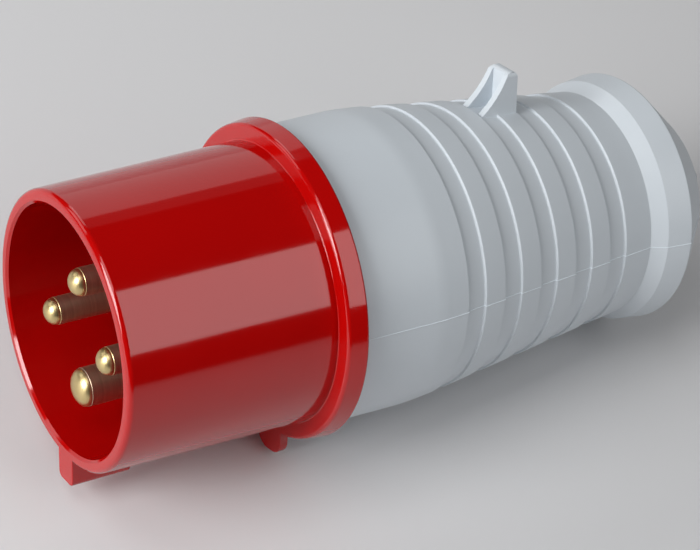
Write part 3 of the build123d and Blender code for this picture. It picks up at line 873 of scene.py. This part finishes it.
FINISHES = {
    "gloss_red": gloss_red,
    "satin_grey": lambda colours: satin("satin_grey_plastic", colours.grey),
    "satin_nut": lambda colours: satin("satin_nut_plastic", colours.nut_grey),
    # The parting lines get a grey 1.3 times lighter than the grip: a painted highlight for the light that the
    # raised line catches
    "satin_seam": lambda colours: satin("satin_seam_plastic", shade(colours.grey, 1.3)),
    "brass": turned_brass,
    "steel": plated_steel,
    "carrier": lambda colours: moulded("moulded_carrier", colours.carrier, 0.35),
    "natural": lambda colours: moulded("natural_plastic", colours.natural, 0.3),
    "rubber": black_rubber,
    "table": table_top,
}


@cache
def finish_named(name):
    """One of the finishes, made once."""
    return FINISHES[name](bpy.context.scene.plug_finish)


# Places that several pieces share

def at_pin(angle, radius):
    """Matrix from the plug axis to the pin at a clock angle in degrees, facing outwards."""
    drop = Matrix.Translation((0.0, 0.0, radius - EARTH.yz.length))
    return drop @ clock(radians(angle)) @ Matrix.Translation((0.0, 0.0, radius))


class PinKind:
    """Sizes of one kind of pin."""

    def __init__(self, pins, housing, kind):
        self.r = getattr(pins, f"{kind}_r")
        self.tip = getattr(pins, f"{kind}_tip")
        self.wire_r = getattr(pins, f"{kind}_wire_r")
        self.shoulder_r = self.r + pins.shoulder_step
        self.collar_r = self.r + pins.collar_step
        self.terminal_r = self.wire_r + pins.terminal_wall
        self.guard_top = sqrt(self.wire_r ** 2 - (pins.guard_width / 2) ** 2) - pins.guard_gap
        self.head_base = self.terminal_r + pins.screw_rise
        self.floor_rear = housing.floor_x + housing.floor_thickness
        self.end = self.floor_rear + pins.terminal_length
        self.screw_x = self.end - pins.screw_back


def kind_of(place_name):
    """Sizes of the pin at a named place."""
    scene = bpy.context.scene
    return PinKind(scene.plug_pins, scene.plug_housing, "earth" if place_name == "earth" else "phase")


class GripPlaces:
    """Places along the grip that several outlines share."""

    def __init__(self, s):
        self.crease = s.face_x + s.barrel
        self.crease_r = s.face_r + s.barrel_draft
        self.grooves = self.crease + s.first_land
        self.taper_r = self.crease_r - s.first_fall
        self.waist = self.grooves + (s.groove_count - 1) * s.groove_pitch + s.groove_width + s.last_land
        self.waist_r = self.taper_r - s.taper_slope * (self.waist - self.grooves)
        self.rim_front = self.waist + s.flare
        self.rim_front_r = self.waist_r + s.rim_height
        self.rim_rear = self.rim_front + s.rim_width
        self.rim_rear_r = self.rim_front_r + s.rim_flare
        self.tail = self.rim_rear + s.cone
        self.hollow_r = self.waist_r - s.wall


class GlandPlaces:
    """Places of the gland pieces along the axis."""

    def __init__(self, c, s):
        tail = GripPlaces(s).tail
        self.seal = tail - s.tube_length + s.shoulder + c.seat_gap
        self.seal_end = self.seal + c.seal_length
        self.claws = self.seal_end + c.seat_gap
        self.claws_end = self.claws + c.claw_length
        self.washer = self.claws_end + c.gap
        self.washer_end = self.washer + c.washer
        self.nut = self.washer_end + c.gap
        self.hexagon = tail + c.gap
        self.end = self.hexagon + c.nut_hex


# Contact housing

def housing_outline(s):
    """Section of the red moulding without its key, tab and lugs."""
    floor_rear = s.floor_x + s.floor_thickness
    flange_rear = s.reach + s.flange_thickness
    spigot_end = flange_rear + s.spigot_length
    spigot_bore = s.spigot_r - s.spigot_wall
    return rounded([
        (0.0, s.sleeve_r - s.wall + s.rim_chamfer, 0.0),
        (0.0, s.sleeve_r, s.rim_round),
        (s.reach, s.sleeve_r + s.draft, s.root_round),
        (s.reach, s.flange_r, s.flange_round),
        (flange_rear, s.flange_rear_r, s.edge_round),
        (flange_rear, s.spigot_r, 0.0),
        (spigot_end, s.spigot_r, 0.0),
        (spigot_end, spigot_bore, 0.0),
        (floor_rear, spigot_bore, 0.0),
        (floor_rear, 0.0, 0.0),
        (s.floor_x, 0.0, 0.0),
        (s.floor_x, s.sleeve_r - s.wall, s.root_round),
        (s.rim_chamfer, s.sleeve_r - s.wall, 0.0),
    ])


def housing_extras(s, red):
    """Key, tab and ring of lugs that are joined to the housing."""
    bevel = s.edge_round / 2
    half = s.key_width / 2
    foot = -s.sleeve_r + s.wall / 2
    key_section = box_outline(-half, half, -s.sleeve_r - s.key_height, foot, s.key_round)
    key = prism(key_section, 0.0, s.key_length, bevel=bevel)
    half = s.tab_width / 2
    tab_section = box_outline(-half, half, -s.flange_r - s.tab_height, -s.sleeve_r, s.tab_round)
    tab = prism(tab_section, s.reach, s.reach + s.tab_thickness, bevel=bevel)
    tab.transform(clock(s.tab_turn))
    spigot_end = s.reach + s.flange_thickness + s.spigot_length
    half = s.lug_width / 2
    lug_section = box_outline(-half, half, s.spigot_r - s.spigot_wall / 2, s.spigot_r + s.lug_height)
    lug = prism(lug_section, spigot_end - s.lug_length, spigot_end - HAIR)
    return key, tab, ring_of(lug, s.lug_count, 0.0, red)


def pin_seats(s, pins):
    """Bore and collar seat in the contact floor for each pin."""
    for name, angle in PIN_ANGLES.items():
        kind = kind_of(name)
        rear = kind.floor_rear + OVERCUT
        bore = prism(disc(kind.shoulder_r + pins.gap), s.floor_x - OVERCUT, rear)
        seat = prism(disc(kind.collar_r + pins.gap), kind.floor_rear - pins.collar_thickness, rear)
        for cut in (bore, seat):
            cut.transform(at_pin(angle, pins.circle_r))
            yield cut


class PLUG_OT_contact_housing(bpy.types.Operator):
    """Build the red contact housing with its key, flange, tab and bayonet lugs"""

    bl_idname = "plug.contact_housing"
    bl_label = "Contact Housing"

    def execute(self, context):
        s = context.scene.plug_housing
        red = finish_named("gloss_red")
        item = turned("housing", housing_outline(s), SIDES["housing"], red)
        combine(item, "UNION", *housing_extras(s, red))
        combine(item, "DIFFERENCE", *pin_seats(s, context.scene.plug_pins))
        smooth(item)
        place(item, "contact_housing_moulding", "plug", "red_plastic", red, "contact_housing")
        return {"FINISHED"}


# Pins and terminals

def pin_outline(kind, pins, housing):
    """Section of a pin: dome with a narrow ring, barrel, shoulder, collar and terminal with its wire hole."""
    seat = kind.floor_rear - pins.collar_thickness + pins.gap
    shoulder = housing.floor_x - pins.shoulder_lead
    small = pins.gap * 4
    dome_r = kind.r - pins.dome_ring
    angles = [pi / 2 * i / DOME_STEPS for i in range(DOME_STEPS + 1)]
    return rounded([
        *((kind.tip + pins.dome * (1 - cos(a)), dome_r * sin(a), 0.0) for a in angles),
        (kind.tip + pins.dome + pins.dome_ring, kind.r, 0.0),
        (shoulder, kind.r, 0.0),
        (shoulder, kind.shoulder_r, pins.gap),
        (seat, kind.shoulder_r, 0.0),
        (seat, kind.collar_r, small),
        (kind.floor_rear, kind.collar_r, small),
        (kind.floor_rear, kind.terminal_r, 0.0),
        (kind.end, kind.terminal_r, small),
        (kind.end, kind.wire_r, small),
        (kind.end - pins.wire_depth, kind.wire_r, 0.0),
        (kind.end - pins.wire_depth - kind.wire_r / 2, 0.0, 0.0),
    ])


class PLUG_OT_pins(bpy.types.Operator):
    """Build the three phase pins and the earth pin"""

    bl_idname = "plug.pins"
    bl_label = "Pins"

    def execute(self, context):
        pins = context.scene.plug_pins
        brass = finish_named("brass")
        for name, angle in PIN_ANGLES.items():
            kind = kind_of(name)
            item = turned(name, pin_outline(kind, pins, context.scene.plug_housing), SIDES["pin"], brass)
            tapping = disc(pins.screw_r, SIDES["screw"], kind.screw_x)
            hole = prism(tapping, -2 * kind.terminal_r, 0.0, along="Y")
            hole.transform(Matrix.Rotation(-pi / 2, 4, "X"))
            combine(item, "DIFFERENCE", hole)
            item.data.transform(at_pin(angle, pins.circle_r))
            smooth(item)
            place(item, f"{name}_turned_pin", "plug", "pin_brass", brass, f"{name}_pin")
        return {"FINISHED"}


def slotted_screw(name, kind, pins, steel):
    """Terminal screw along X: threaded shank from its tip on the wire guard up to a slotted head."""
    core = pins.screw_r - pins.gap - pins.thread_depth
    top = kind.head_base + pins.head_height
    small = pins.head_height / 6
    item = turned(name, rounded([
        (kind.guard_top, 0.0, 0.0),
        (kind.guard_top, core, small),
        (kind.head_base, core, 0.0),
        (kind.head_base, pins.head_r, small),
        (top, pins.head_r, 2 * small),
        (top, 0.0, 0.0),
    ]), SIDES["screw"], steel)
    half, wide = pins.slot_width / 2, pins.head_r + OVERCUT
    slot = prism(box_outline(-half, half, -wide, wide), top - pins.slot_depth, top + OVERCUT)
    combine(item, "DIFFERENCE", slot)
    ridge = thread_ridge(
        kind.guard_top, kind.head_base, core, pins.thread_pitch, pins.thread_depth, SCREW_THREAD_STEPS, steel
    )
    return join(name, item, ridge)


def tapping_screw(pins, seat, steel):
    """Self-tapping screw along X with a domed head behind its seat and a cross recess."""
    core = pins.fixing_r - pins.fixing_depth
    tip = seat - pins.fixing_length
    head = pins.fixing_r
    item = turned("fixing", rounded([
        (tip, 0.0, 0.0),
        (tip, core / 2, 0.0),
        (tip + core, core, core / 2),
        (seat, core, 0.0),
        (seat, 2 * pins.fixing_r, head / 10),
        (seat + head, 2 * pins.fixing_r, head / 2),
        (seat + head, 0.0, 0.0),
    ]), SIDES["screw"], steel)
    half = pins.slot_width / 2
    for y, z in ((half, head), (head, half)):
        combine(item, "DIFFERENCE", prism(box_outline(-y, y, -z, z), seat + head / 2, seat + 2 * head))
    start, end = tip + pins.fixing_pitch / 2, seat - pins.fixing_pitch / 2
    ridge = thread_ridge(
        start, end, core, pins.fixing_pitch, pins.fixing_depth, SCREW_THREAD_STEPS, steel
    )
    return join("fixing", item, ridge)


def wire_guard(name, kind, pins):
    """Small plate with rounded ends between a terminal screw and the wire."""
    half, end = pins.guard_width / 2, pins.guard_length / 2
    return new_object(name, prism(
        box_outline(-half, half, -end, end, half / 2, half / 2), kind.guard_top - pins.guard_thickness,
        kind.guard_top, bevel=pins.guard_thickness / 4,
    ))


class PLUG_OT_terminals(bpy.types.Operator):
    """Build the terminal screws, the wire guards and the carrier's screws, and paint the carrier and gasket"""

    bl_idname = "plug.terminals"
    bl_label = "Terminals"

    def execute(self, context):
        pins = context.scene.plug_pins
        steel = finish_named("steel")
        for name, angle in PIN_ANGLES.items():
            kind = kind_of(name)
            upright = Matrix.Translation((kind.screw_x, 0.0, 0.0)) @ Matrix.Rotation(-pi / 2, 4, "Y")
            for item, label, slot in (
                (slotted_screw(name, kind, pins, steel), "terminal_screw", "screw_steel"),
                (wire_guard(name, kind, pins), "wire_guard", "guard_steel"),
            ):
                item.data.transform(at_pin(angle, pins.circle_r) @ upright)
                smooth(item)
                place(item, f"{name}_{label}_part", "plug", slot, steel, f"{name}_{label}")
        screw = take_mesh(tapping_screw(pins, kind.floor_rear + pins.carrier, steel))
        screw.transform(Matrix.Translation((0.0, 0.0, pins.fixing_place)))
        fixings = new_object("fixings", ring_of(screw, pins.fixing_count, pins.fixing_turn, steel))
        smooth(fixings)
        place(fixings, "carrier_fixings", "plug", "screw_steel", steel, "carrier_screw_1", "carrier_screw_2")
        paint("pin_carrier", finish_named("carrier"))
        paint("flange_gasket", finish_named("rubber"))
        return {"FINISHED"}


# Grip

def grip_rest(s, h):
    """The grip's outline apart from its grooved taper: waist, flare, rim, cone, inside, face and barrel."""
    at = GripPlaces(s)
    slope = (at.rim_rear_r - s.tail_r) / s.cone
    cone_inner_r = at.rim_rear_r - s.wall * hypot(1, slope)
    cone_top = at.rim_rear + (cone_inner_r - at.hollow_r) / slope
    cone_foot = at.rim_rear + (cone_inner_r - s.tube_r) / slope
    shoulder_front = at.tail - s.tube_length
    shoulder_rear = shoulder_front + s.shoulder
    bore_r = h.spigot_r + s.spigot_gap
    spigot_end = h.reach + h.flange_thickness + h.spigot_length + s.spigot_gap
    corners = [
        (at.waist, at.waist_r, s.waist_round),
        (at.rim_front, at.rim_front_r, s.edge_round),
        (at.rim_rear, at.rim_rear_r, s.edge_round),
        (at.tail, s.tail_r, s.edge_round),
        (at.tail, s.thread_r, s.edge_round),
        (shoulder_rear, s.thread_r, 0.0),
        (shoulder_rear, s.shoulder_hole_r, 0.0),
        (shoulder_front, s.shoulder_hole_r, 0.0),
        (shoulder_front, s.tube_r, 0.0),
        (cone_foot, s.tube_r, 0.0),
        (cone_top, at.hollow_r, 0.0),
        (at.waist, at.hollow_r, 0.0),
        (at.grooves, at.taper_r - s.groove_depth - s.wall, 0.0),
        (spigot_end, bore_r, 0.0),
        (s.face_x + s.gasket_seat, bore_r, 0.0),
        (s.face_x + s.gasket_seat, s.gasket_r, 0.0),
        (s.face_x, s.gasket_r, 0.0),
        (s.face_x, s.face_r, s.edge_round),
        (at.crease, at.crease_r, s.crease_round),
        (at.grooves, at.taper_r, s.groove_round),
    ]
    taper_line = (at.grooves, at.taper_r, 0.0)
    groove_floor = (at.grooves, at.taper_r - s.groove_depth, 0.0)
    return rounded([taper_line, *corners, groove_floor])[1:-1]


def outer_line(outline, s):
    """The part of the closed outline that runs from the grip's face round the outside to its tail."""
    total = len(outline)
    start, end = [
        min(range(total), key=lambda i: (outline[i] - Vector((x, 0.0, r))).length)
        for x, r in ((s.face_x, s.face_r), (GripPlaces(s).tail, s.tail_r))
    ]
    return [outline[(start + i) % total].xz for i in range((end - start) % total + 1)]


def catch_mesh(c, s):
    """Catch with a hollow ramp, rounded cap edges and a pocket between two walls."""
    at = GripPlaces(s)
    foot_x = at.grooves + (c.groove - 1) * s.groove_pitch + c.back
    foot_z = at.taper_r - s.taper_slope * (foot_x - at.grooves) - s.groove_depth
    rear_x = foot_x + c.span
    cap_z = foot_z + c.rear_height
    sunk_z = foot_z - s.wall / 2
    foot = Vector((foot_x, foot_z))
    run = Vector((c.span - c.cap, c.front_height))
    hollow = Vector((run.y, -run.x)).normalized()
    shares = [i / RAMP_STEPS for i in range(RAMP_STEPS + 1)]
    # The ramp is a parabola whose middle lies one sag under the straight line
    ramp = [foot + run * t + hollow * (c.sag * 4 * t * (1 - t)) for t in shares]
    outline = [*ramp, Vector((rear_x, cap_z)), Vector((rear_x, sunk_z)), Vector((foot_x, sunk_z))]
    item = new_object("catch", prism(outline, -c.width / 2, c.width / 2, along="Y"))
    with editing(item.data) as shape:
        for vert in shape.verts:
            vert.co.y *= 1 + c.draft / (c.width / 2) * (cap_z - vert.co.z) / (cap_z - sunk_z)
        cap_floor = foot_z + c.front_height - HAIR
        edges = [edge for edge in shape.edges if min(v.co.z for v in edge.verts) > cap_floor]
        bmesh.ops.bevel(
            shape, geom=edges, offset=c.edge_round, segments=CAP_STEPS, profile=0.5, affect="EDGES"
        )
    half = c.width / 2 - c.wall
    pocket = box_outline(-half, half, sunk_z - OVERCUT, cap_z + OVERCUT)
    combine(item, "DIFFERENCE", prism(pocket, foot_x - OVERCUT, rear_x - c.rear_wall))
    return take_mesh(item)


def catch_floor(c, s):
    """Cut that carries the floor of the groove on through the catch's pocket."""
    at = GripPlaces(s)
    groove_front = at.grooves + (c.groove - 1) * s.groove_pitch
    groove_rear = groove_front + s.groove_width
    floor_z = at.taper_r - s.taper_slope * (groove_rear - at.grooves) - s.groove_depth
    half = c.width / 2 - c.wall
    end = groove_front + c.back + c.span - c.rear_wall
    return prism(box_outline(-half, half, floor_z, at.taper_r + OVERCUT), groove_rear - OVERCUT / 2, end)


def tube_ribs(s, grey):
    """Ring of ribs between the gland tube and the grip's wall."""
    at = GripPlaces(s)
    low, high = (s.tube_r + s.thread_r) / 2, at.hollow_r + s.wall / 2
    half = s.rib_thickness / 2
    rib = prism(box_outline(-half, half, low, high), at.rim_rear - s.rib_length, at.rim_rear)
    return ring_of(rib, s.rib_count, pi / s.rib_count, grey)


class PLUG_OT_grip(bpy.types.Operator):
    """Build the grey grip with its grooves, flared rim, rear cone, gland tube and lid catch"""

    bl_idname = "plug.grip"
    bl_label = "Grip"

    def execute(self, context):
        s, c = context.scene.plug_grip, context.scene.plug_catch
        at = GripPlaces(s)
        grey, seam = finish_named("satin_grey"), finish_named("satin_seam")
        item = edge_loop("grip", grip_rest(s, context.scene.plug_housing), closed=False)
        shape_by(
            item, grooving_tree(), grooves=s.groove_count, pitch=s.groove_pitch, width=s.groove_width,
            depth=s.groove_depth, start=at.grooves, start_radius=at.taper_r, slope=s.taper_slope,
            round=s.groove_round, material=grey,
        )
        outer = outer_line([v.co.copy() for v in item.data.vertices], s)
        shape_by(item, turning_tree(), segments=SIDES["grip"], material=grey)
        combine(item, "DIFFERENCE", catch_floor(c, s))
        combine(item, "UNION", catch_mesh(c, s), tube_ribs(s, grey))
        smooth(item)
        place(item, "grip_moulding", "plug", "grip_plastic", grey, "grip")
        # Parting lines in the lighter grey, a painted highlight along each raised line
        for side, name in ((pi / 2, "far"), (-pi / 2, "near")):
            line = edge_loop("line", outer, closed=False)
            shape_by(
                line, seam_tree(), angle=side, width=s.seam_width, height=s.seam_height, material=seam
            )
            smooth(line)
            place(line, f"{name}_parting_line", "plug", "grip_plastic", seam)
        return {"FINISHED"}


# Gland

def ring_outline(x0, x1, inner_r, outer_r, inner_round, outer_round):
    """Section of a ring with rounded edges."""
    return rounded([
        (x0, inner_r, inner_round),
        (x0, outer_r, outer_round),
        (x1, outer_r, outer_round),
        (x1, inner_r, inner_round),
    ])


def cable_seal(c, at, outer_r, rubber):
    """Rubber ring with rounded ends and soft grooves in its hole."""
    deep = c.seal_hole_r + c.seal_groove
    half = c.seal_groove / 2
    small = half / 2
    corners = [
        (at.seal, c.seal_hole_r, c.seal_groove),
        (at.seal, outer_r, small),
        (at.seal_end, outer_r, small),
        (at.seal_end, c.seal_hole_r, c.seal_groove),
    ]
    for i in range(c.seal_grooves, 0, -1):
        x = at.seal + i * c.seal_length / (c.seal_grooves + 1)
        corners += [
            (x + half, c.seal_hole_r, small),
            (x + half, deep, small),
            (x - half, deep, small),
            (x - half, c.seal_hole_r, small),
        ]
    return turned("seal", rounded(corners), SIDES["gland"], rubber)


def claw_ring(c, at, outer_r, small, natural):
    """Ring with slots from its front, which leave the claws that grip the lead."""
    section = ring_outline(at.claws, at.claws_end, c.claw_hole_r, outer_r, 3 * small, small)
    item = turned("claws", section, SIDES["gland"], natural)
    half = c.claw_slot / 2
    slot = prism(
        box_outline(-half, half, c.claw_hole_r - OVERCUT, outer_r + 2 * OVERCUT),
        at.claws - OVERCUT, at.claws_end - c.claw_base,
    )
    combine(item, "DIFFERENCE", ring_of(slot, c.claw_count, 0.0, natural))
    return item


def gland_nut(c, at, outer_r, grey):
    """Threaded nut with a chamfered hexagon and a flared mouth at its rear end."""
    core = outer_r - c.thread_depth
    thread_start = at.nut + c.thread_depth
    nut = turned("nut", [
        (at.nut, c.nut_hole_r), (at.nut, core - c.thread_depth), (thread_start, core), (at.hexagon, core),
        (at.hexagon, c.nut_hole_r),
    ], SIDES["nut"], grey)
    corner_r = c.nut_flats / sqrt(3)
    front, chamfer = at.hexagon - OVERCUT, at.end - c.nut_round
    bevel = turned("bevel", [
        (front, 0.0), (front, corner_r + OVERCUT), (chamfer, corner_r + OVERCUT), (chamfer, corner_r),
        (at.end, c.nut_flats / 2), (at.end, 0.0),
    ], SIDES["nut"], grey)
    rear = at.end + OVERCUT
    mouth = turned("mouth", [
        (front, 0.0), (front, c.nut_hole_r), (chamfer, c.nut_hole_r),
        (rear, c.nut_hole_r + c.nut_round + OVERCUT), (rear, 0.0),
    ], SIDES["nut"], grey)
    hexagon = new_object("hexagon", prism(disc(corner_r, 6), at.hexagon, at.end))
    combine(hexagon, "INTERSECT", take_mesh(bevel))
    combine(nut, "UNION", take_mesh(hexagon))
    combine(nut, "DIFFERENCE", take_mesh(mouth))
    ridge = thread_ridge(
        thread_start, at.hexagon, core, c.thread_pitch, c.thread_depth, NUT_THREAD_STEPS, grey
    )
    return join("nut", nut, ridge)


class PLUG_OT_gland(bpy.types.Operator):
    """Build the gland nut, the claw ring, the cable seal and the thrust washer"""

    bl_idname = "plug.gland"
    bl_label = "Gland"

    def execute(self, context):
        c, s = context.scene.plug_gland, context.scene.plug_grip
        at = GlandPlaces(c, s)
        rubber, natural = finish_named("rubber"), finish_named("natural")
        steel, grey = finish_named("steel"), finish_named("satin_nut")
        tight_r, loose_r = s.thread_r - c.seal_gap, s.thread_r - c.gap
        small = c.washer / 6
        washer_section = ring_outline(at.washer, at.washer_end, c.claw_hole_r, loose_r, small, small)

        seal = cable_seal(c, at, tight_r, rubber)
        claws = claw_ring(c, at, tight_r, small, natural)
        washer = turned("washer", washer_section, SIDES["nut"], steel)
        nut = gland_nut(c, at, loose_r, grey)
        for item in (seal, claws, washer, nut):
            smooth(item)
        place(seal, "cable_seal_ring", "plug", "seal_rubber", rubber, "cable_seal")
        place(claws, "slotted_claw_ring", "plug", "claw_plastic", natural, "claw_ring")
        place(washer, "pressed_washer", "washer", "washer_steel", steel, "thrust_washer")
        place(nut, "threaded_gland_nut", "nut", "nut_plastic", grey, "gland_nut")
        return {"FINISHED"}


# Table, lights and camera

ALONG, ACROSS = Vector((1.0, 0.0, 0.0)), Vector((0.0, 1.0, 0.0))

# Each soft panel has its aim's distance behind the camera's target, its place from there, its width and
# height, and the direction of its width, all in metres in the table's frame
PANELS = {
    "key": (0.0, (-0.83, 0.0, 0.35), 0.42, 0.62, ACROSS),
    "high": (0.0, (-0.42, 0.0, 0.8), 0.42, 0.38, ACROSS),
    "fill": (0.0, (-0.54, 0.64, 0.34), 0.35, 0.45, ACROSS),
    "side": (0.25, (0.0, -0.52, 0.608), 0.42, 0.74, ALONG),
    "back": (0.25, (0.0, 0.806, 0.27), 0.45, 0.6, ALONG),
    "strip": (0.25, (0.0, 0.617, 0.585), 0.45, 0.15, ALONG),
    "rim": (0.0, (0.0, 0.737, 0.516), 0.42, 0.38, ALONG),
}


def facing(right, up, back):
    """Turn that gives a lamp or camera its three axes."""
    return Matrix((right, up, back)).transposed().to_4x4()


def soft_panel(name, aim, away, width, height, width_axis, power):
    """Rectangular area light that faces its aim."""
    light = bpy.data.lights.new(f"{name}_panel", "AREA")
    light.shape = "RECTANGLE"
    light.size = width
    light.size_y = height
    light.energy = power
    item = new_object(light.name, light)
    back = away.normalized()
    right = (width_axis - back * width_axis.dot(back)).normalized()
    item.matrix_world = Matrix.Translation(aim + away) @ facing(right, back.cross(right), back)
    item.visible_camera = False


def table_mesh(s, h, g):
    """Square table that touches the flange's rear edge and the grip's rear rim."""
    at = GripPlaces(g)
    flange_rear = h.reach + h.flange_thickness
    rise = (h.flange_rear_r - at.rim_rear_r) / (at.rim_rear - flange_rear)
    half = s.table_size / 2
    corners = [(-half, -half), (half, -half), (half, half), (-half, half)]
    mesh = bpy.data.meshes.new("table")
    mesh.from_pydata(
        [(x, y, (x - flange_rear) * rise - h.flange_rear_r) for x, y in corners], [], [(0, 1, 2, 3)]
    )
    return mesh


def light_room(scene, tone, strength):
    """Even, dim light from all round the table."""
    world = bpy.data.worlds.new("room")
    world.use_nodes = True
    sky = world.node_tree.nodes["Background"]
    sky.inputs["Color"].default_value = (*tone, 1.0)
    sky.inputs["Strength"].default_value = strength
    scene.world = world
    scene.view_settings.view_transform = "Standard"


def set_camera(scene, s):
    """Camera at the photo's viewing angle, turned in the plug's own upright frame."""
    lens = bpy.data.cameras.new("camera")
    lens.lens = s.lens
    lens.sensor_width = s.sensor
    lens.clip_start = s.near
    level = Vector((cos(s.azimuth), sin(s.azimuth), 0.0))
    back = Vector((
        sin(s.azimuth) * cos(s.elevation), -cos(s.azimuth) * cos(s.elevation), sin(s.elevation)
    ))
    up = back.cross(level)
    axes = facing(level * cos(s.roll) + up * sin(s.roll), up * cos(s.roll) - level * sin(s.roll), back)
    target = Vector((s.target_x, 0.0, -s.target_drop))
    camera = new_object("camera", lens)
    camera.matrix_world = LYING @ Matrix.Translation(target + back * s.distance) @ axes
    scene.camera = camera


class PLUG_OT_stage(bpy.types.Operator):
    """Build the table, the lights and the camera"""

    bl_idname = "plug.stage"
    bl_label = "Table, Lights and Camera"

    def execute(self, context):
        scene = context.scene
        s = scene.plug_stage
        table = new_object("table", table_mesh(s, scene.plug_housing, scene.plug_grip))
        table.data.materials.append(finish_named("table"))
        table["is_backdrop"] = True
        for name, (behind, away, width, height, width_axis) in PANELS.items():
            aim = Vector((s.target_x + behind, 0.0, 0.0))
            power = getattr(s, f"{name}_power")
            soft_panel(name, aim, Vector(away), width, height, width_axis, power)
        light_room(scene, scene.plug_finish.room, s.room)
        set_camera(scene, s)
        return {"FINISHED"}


STEPS = (
    PLUG_OT_contact_housing,
    PLUG_OT_pins,
    PLUG_OT_terminals,
    PLUG_OT_grip,
    PLUG_OT_gland,
    PLUG_OT_stage,
)


class PLUG_PT_build(bpy.types.Panel):
    """Sidebar panel that lists the plug's pieces and sizes"""

    bl_idname = "PLUG_PT_build"
    bl_label = "Pin and Sleeve Plug"
    bl_space_type = "VIEW_3D"
    bl_region_type = "UI"
    bl_category = "Plug"

    def draw(self, context):
        for step in STEPS:
            self.layout.operator(step.bl_idname)
        for key, group in GROUPS.items():
            box = self.layout.box()
            box.label(text=group.__doc__.split(":")[0])
            sizes = getattr(context.scene, key)
            for name in group.__annotations__:
                box.prop(sizes, name)


def register():
    """Make the groups, operators and panel known to Blender."""
    for item in (*GROUPS.values(), *STEPS, PLUG_PT_build):
        bpy.utils.register_class(item)
    for key, group in GROUPS.items():
        setattr(bpy.types.Scene, key, PointerProperty(type=group))


def unregister():
    """Take them away again."""
    for key in GROUPS:
        delattr(bpy.types.Scene, key)
    for item in reversed((*GROUPS.values(), *STEPS, PLUG_PT_build)):
        bpy.utils.unregister_class(item)


def main():
    """Build everything and work out the size of the frame and of the finished model."""
    register()
    for step in STEPS:
        group, name = step.bl_idname.split(".")
        getattr(getattr(bpy.ops, group), name)()
    boxes = {"cad": CAD_BOX, "visual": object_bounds()}
    {key: [list(corner) for corner in box] for key, box in boxes.items()}


if __name__ == "__main__":
    main()
